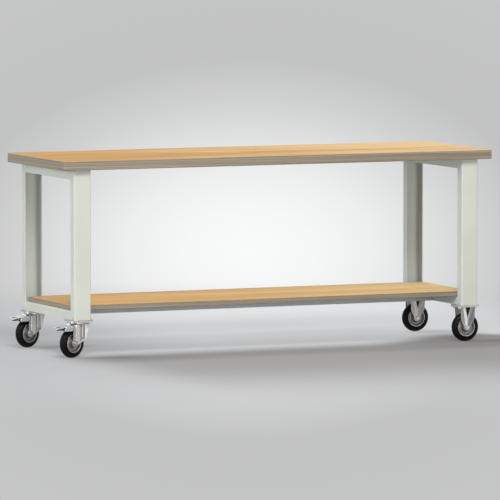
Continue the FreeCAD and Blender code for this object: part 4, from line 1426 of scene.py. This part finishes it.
@dataclass
class Caster:
    """One caster with its wheel, and its brake where it swivels."""

    corner: Corner
    trail: float = 40.0 * MM
    swivel_heading: float = math.radians(200.0)
    fixed_heading: float = math.pi
    tyre: Tyre = Tyre()
    rim: Rim = Rim()
    swivel_fork: SwivelFork = SwivelFork()
    fixed_fork: FixedFork = FixedFork()

    def stand(self) -> Stand:
        """Where this caster stands, from its plate's middle and its tyre's."""
        name = self.corner.value
        plate = ("caster_plate_" if self.corner.is_left else "fixed_fork_") + name
        low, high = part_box(plate)
        tyre_low, tyre_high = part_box("tyre_" + name)
        axle = (tyre_low.z + tyre_high.z) / 2.0
        heading = self.swivel_heading if self.corner.is_left else self.fixed_heading
        trail = self.trail if self.corner.is_left else 0.0
        return Stand((low.x + high.x) / 2.0, (low.y + high.y) / 2.0, heading, trail, axle)

    def build(self, finishes: "CasterFinishes") -> None:
        """Make the tyre, rim and fork, and dress the caster's other pieces.

        Args:
            finishes: the finishes that the casters share.
        """
        name = self.corner.value
        stand = self.stand()
        wheel = "wheel_" + name
        rubber = Rubber("tyre_rubber_" + name, centre=stand.wheel_middle()).material()
        tyre = self.tyre.build("tyre_skin_" + name, stand)
        add_piece(tyre, wheel, rubber, "tyre_" + name)
        rim = self.rim.build("rim_skin_" + name, stand)
        add_piece(rim, wheel, finishes.rim, "rim_" + name)
        dress(finishes.plastic, "bearing_" + name)
        if self.corner.is_left:
            self._finish_swivel(finishes, name, stand)
        else:
            fork = self.fixed_fork.build("fixed_fork_skin_" + name, stand)
            add_piece(fork, "bench", finishes.steel, "fixed_fork_" + name)

    def _finish_swivel(self, finishes: "CasterFinishes", name: str, stand: Stand) -> None:
        """Make the swivel fork, and dress the swivel head and the brake.

        Args:
            finishes: the finishes that the casters share.
            name: the corner's name.
            stand: where the caster stands.
        """
        fork = self.swivel_fork.build("fork_skin_" + name, stand)
        add_piece(fork, "swivel_" + name, finishes.steel, "fork_" + name)
        dress(finishes.steel_plain, "caster_plate_" + name)
        dress(finishes.bright, "brake_pedal_" + name)
        dress(finishes.brake, "brake_shoe_" + name)
        dress(
            finishes.polished, "race_balls_" + name, "pedal_pin_" + name, "axle_sleeve_" + name,
            "lower_race_" + name,
        )


@dataclass
class CasterFinishes:
    """The finishes that the casters share."""

    steel: Material
    steel_plain: Material
    bright: Material
    rim: Material
    polished: Material
    plastic: Material
    brake: Material

    @staticmethod
    def make() -> "CasterFinishes":
        """Build them all."""
        return CasterFinishes(
            steel=PlatedSteel(
                "zinc_forks", colour=(0.69, 0.675, 0.66), cloud_colour=(0.60, 0.585, 0.57),
                # near-black painted shade in the hollows of the pressed forks
                roughness=0.32, hollow_colour=(0.040, 0.036, 0.032),
            ).material(),
            steel_plain=PlatedSteel("zinc_plates", roughness=0.34).material(),
            bright=PlatedSteel(
                "zinc_pedals", colour=(0.80, 0.80, 0.79), cloud_colour=(0.72, 0.73, 0.74),
                # paler edges as a painted highlight on the pedals
                edge_highlight_colour=(0.97, 0.97, 0.97), roughness=0.28, edge_radius=1.1 * MM,
            ).material(),
            rim=PlatedSteel(
                "zinc_rims", colour=(0.68, 0.66, 0.64), cloud_colour=(0.44, 0.425, 0.41),
                # painted highlight on the rim's edges, and painted shade in its dish
                edge_highlight_colour=(0.95, 0.95, 0.93), roughness=0.32, hollow_colour=(0.24, 0.23, 0.22),
            ).material(),
            polished=PlatedSteel(
                "polished_steel", colour=(0.74, 0.74, 0.73), cloud_colour=(0.68, 0.68, 0.68),
                roughness=0.14, spread=0.08, edge_radius=0.3 * MM,
            ).material(),
            plastic=MouldedPlastic("bearing_plastic").material(),
            brake=Rubber("brake_rubber", colour=(0.020, 0.020, 0.021), roughness=0.6).material(),
        )


# ---------------------------------------------------------------------------------------- studio


@dataclass(frozen=True)
class Lamp:
    """A soft rectangular lamp that points at the table."""

    name: str
    place: Point
    width: float
    height: float
    share: float
    colour: Colour = (1.0, 1.0, 1.0)
    target: Point = (0.0, 0.0, 0.45)

    def build(self) -> None:
        """Add the lamp.

        Its power is share pi^2 d^2, which adds that share of its colour to a surface that faces
        it at the distance d.
        """
        away = np.array(self.place) - np.array(self.target)
        distance = float(np.linalg.norm(away))
        light = bpy.data.lights.new(self.name, "AREA")
        light.shape = "RECTANGLE"
        light.size = self.width
        light.size_y = self.height
        light.color = self.colour
        light.energy = self.share * math.pi ** 2 * distance ** 2
        lamp = new_object(self.name, light)
        lamp.location = self.place
        pitch = math.acos(away[2] / distance)
        lamp.rotation_euler = (pitch, 0.0, math.atan2(away[1], away[0]) + QUARTER_TURN)


@dataclass
class Studio:
    """Pale floor, soft light and the camera."""

    camera_place: Point = (-10.691, -24.233, 2.502)
    pitch_down: float = math.radians(4.52)
    yaw: float = math.radians(23.80)
    focal_pixels: float = 6143.0
    frame_pixels: float = 500.0
    sensor: float = 36.0
    floor_half: float = 160.0
    floor_colour: Colour = (0.560, 0.562, 0.570)
    floor_glow: Colour = (0.535, 0.537, 0.545)
    glow_share: float = 0.34
    # painted pool of light behind the table, with its own share of glow
    floor_light_patch: Colour = (0.780, 0.795, 0.810)
    light_patch_glow: float = 0.24
    # painted shadows: a band in front of the table, its darker core, and spots beside the wheels
    floor_shadow_band: Colour = (0.400, 0.392, 0.388)
    floor_shadow_core: Colour = (0.130, 0.125, 0.122)
    wheel_shadow_reach: tuple[float, float] = (0.24, 0.11)
    wheel_shadow_offset: tuple[float, float] = (0.14, -0.04)
    wheel_shadow_share: float = 0.26
    clear_reach: tuple[float, float] = (0.75, 3.4)
    glow_size: tuple[float, float] = (0.0408, 0.0260)
    glow_range: float = 8.0
    glow_tones: tuple[tuple[float, float], ...] = (
        (0.0, 0.956), (0.031, 0.930), (0.0625, 0.855), (0.120, 0.628), (0.15, 0.545),
        (0.25, 0.570), (0.9, 0.720),
    )
    sky: float = 0.66
    sky_tones: tuple[tuple[float, float], ...] = (
        (0.0, 0.20), (0.50, 0.40), (0.75, 0.66), (1.0, 1.05),
    )
    light_from: Point = (-0.600, -0.550, 0.580)
    lamps: tuple[Lamp, ...] = (
        Lamp("key", (-2.5, -9.0, 9.5), 5.0, 4.0, 0.60),
        Lamp("fill", (-7.5, -13.0, 1.3), 6.0, 2.4, 0.09, (1.0, 0.985, 0.95)),
        Lamp("side", (-21.0, -1.5, 5.6), 14.0, 7.0, 0.29, (0.90, 1.0, 1.04)),
        Lamp("strip", (5.6, -12.6, 0.9), 1.6, 2.6, 0.045),
        Lamp("overhead", (0.4, 4.6, 5.6), 5.0, 2.4, 0.10),
    )

    def build(self) -> None:
        """Build the whole studio."""
        self._camera()
        self._floor()
        self._world()
        for lamp in self.lamps:
            lamp.build()
        bpy.context.scene.view_settings.view_transform = "Standard"

    def _camera(self) -> None:
        """Add the camera, whose lens is f / frame width times the sensor's width."""
        data = bpy.data.cameras.new("camera")
        data.sensor_width = self.sensor
        data.lens = self.focal_pixels / self.frame_pixels * self.sensor
        data.clip_start = 0.5
        data.clip_end = 400.0
        camera = new_object("camera", data)
        camera.location = self.camera_place
        camera.rotation_euler = (QUARTER_TURN - self.pitch_down, 0.0, -self.yaw)
        bpy.context.scene.camera = camera

    def _floor(self) -> None:
        """Add the floor, which takes the table's shadow and fades into the backdrop around it.

        Painted shadows and a painted pool of light tint its paper and its glow.
        """
        half = self.floor_half
        corners = [(-half, -half, 0.0), (half, -half, 0.0), (half, half, 0.0), (-half, half, 0.0)]
        mesh = bpy.data.meshes.new("floor")
        mesh.from_pydata(corners, [], [(0, 1, 2, 3)])
        floor = new_object("floor", mesh)
        material, tree = new_material("floor_paper")
        x, y, _ = tree.parts(tree.place())
        seen = self._seen(tree)
        # painted pool of light, painted shadow band and its painted shadow core
        light_patch, band, shadow_core = self._zones(x, y)
        painted = ((light_patch, self.floor_light_patch), (band, self.floor_shadow_band), (shadow_core, self.floor_shadow_core))
        sheet = tree.layers(self.floor_colour, *painted)
        paper = tree.add("ShaderNodeBsdfDiffuse", None, {"Color": sheet})
        tone = tree.layers(self.floor_glow, *painted)
        glow = tree.add("ShaderNodeEmission", None, {"Color": tone})
        # the pool of painted light also glows more, which lightens the real shadow there
        share = seen * (light_patch * self.light_patch_glow + self.glow_share)
        lit = tree.mixed(share, paper, glow)
        clear = tree.add("ShaderNodeBsdfTransparent")
        gone = (x * x + y * y).root().step(*self.clear_reach) * seen
        tree.close(tree.mixed(gone, lit, clear))
        floor.data.materials.append(material)

    def _zones(self, x: Field, y: Field) -> tuple[Field, Field, Field]:
        """Zones of the floor's tone, each a product of smooth rises along x and y.

        Args:
            x: place along the table.
            y: place across it.

        Returns:
            A painted pool of light behind the table, a painted shadow band under the shelf, and
            the band's darker painted shadow core, which is strongest between the wheels of each
            end and beside each wheel.
        """
        in_reach = abs(x - 0.35 - y * 0.35).step(1.60, 0.50)
        light_patch = y.step(-0.42, 0.05) * y.step(3.2, 1.2) * in_reach
        back = y - x.step(0.40, 1.05) * x.step(1.40, 1.05) * 0.33
        # the painted shadow reaches further back near the right end
        band = back.step(-0.10, -0.38) * y.step(-2.4, -1.0)
        band = band * x.step(-1.12, -0.68) * x.step(2.6, 1.3)
        shadow_core = back.step(-0.22, -0.38) * y.step(-0.62, -0.42)
        shadow_core = shadow_core * x.step(-1.12, -0.78) * x.step(1.6, 1.1)
        ends = x.step(-0.30, -0.75) + x.step(0.50, 0.90)
        shadow_core = shadow_core * (ends * 0.16 + 0.20) + self._painted_wheel_shadows(x, y)
        # more painted shadow towards the front right
        shadow_core = shadow_core + x.step(0.10, 0.80) * y.step(-0.30, -0.60) * y.step(-2.4, -1.2) * 0.14
        return light_patch, band, shadow_core

    def _painted_wheel_shadows(self, x: Field, y: Field) -> Field:
        """Painted shadows beside the wheels' feet, as soft dark spots.

        Args:
            x: place along the table.
            y: place across it.

        Returns:
            A share that falls off with sqrt((dx / a)^2 + (dy / b)^2) about each spot's middle.
        """
        wheel_shadows = []
        for corner in Corner:
            low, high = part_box("tyre_" + corner.value)
            middle = (low.x + high.x) / 2.0, (low.y + high.y) / 2.0
            rows = zip((x, y), middle, self.wheel_shadow_offset, self.wheel_shadow_reach)
            a, b = ((value - (at + offset)) * (1.0 / reach) for value, at, offset, reach in rows)
            wheel_shadows.append((a * a + b * b).root().step(1.0, 0.15) * self.wheel_shadow_share)
        return sum(wheel_shadows[1:], wheel_shadows[0])

    @staticmethod
    def _seen(tree: Tree) -> Field:
        """1 for rays from the camera, mirrored rays and rays through glass."""
        ray = tree.add("ShaderNodeLightPath", output="Is Camera Ray")
        return ray.larger(ray.output("Is Glossy Ray")).larger(ray.output("Is Transmission Ray"))

    def _world(self) -> None:
        """Add the world: light that is stronger from the front left, and a plain pale backdrop.

        The backdrop has a soft bright patch behind the table. Its tone depends on
        r = sqrt((a / w)^2 + (b / h)^2), with a and b the tangents of the angles to the side of
        and above the patch's middle, and w and h its half sizes.
        """
        world = bpy.data.worlds.new("studio")
        bpy.context.scene.world = world
        tree = Tree(world)
        direction = tree.add("ShaderNodeTexCoord", output="Generated")
        length = float(np.linalg.norm(self.light_from))
        light_from = tuple(v / length for v in self.light_from)
        facing = tree.toward(direction, light_from) * 0.5 + 0.5
        tones = [(place, (tone,) * 3) for place, tone in self.sky_tones]
        light = tree.add("ShaderNodeValToRGB", {"stops": tones}, {0: facing})
        lit = tree.add("ShaderNodeBackground", None, {0: light, 1: self.sky})
        ahead = (math.sin(self.yaw), math.cos(self.yaw), 0.0)
        side = (math.cos(self.yaw), -math.sin(self.yaw), 0.0)
        depth = tree.toward(direction, ahead).larger(0.02)
        width, height = self.glow_size
        across = tree.toward(direction, side) / depth / width
        above = tree.toward(direction, (0.0, 0.0, 1.0)) / depth + math.tan(self.pitch_down)
        above = above / height
        away = (across * across + above * above).root() / self.glow_range
        tones = [(place, (tone * 0.995, tone, tone * 1.008)) for place, tone in self.glow_tones]
        shown = tree.add("ShaderNodeValToRGB", {"stops": tones}, {0: away})
        plain = tree.add("ShaderNodeBackground", None, {0: shown, 1: 1.0})
        tree.close(tree.mixed(self._seen(tree), lit, plain), "ShaderNodeOutputWorld")


# ------------------------------------------------------------------------------------------ main


def main() -> None:
    """Build and dress the table, then the studio."""
    logging.basicConfig(level=logging.INFO, format="%(message)s")
    Studio().build()
    Boards().dress()
    SteelFrame().build()
    Fasteners().dress()
    finishes = CasterFinishes.make()
    for corner in Corner:
        Caster(corner).build(finishes)
    dress(finishes.polished, "fixed_axle_sleeves")


if __name__ == "__main__":
    main()
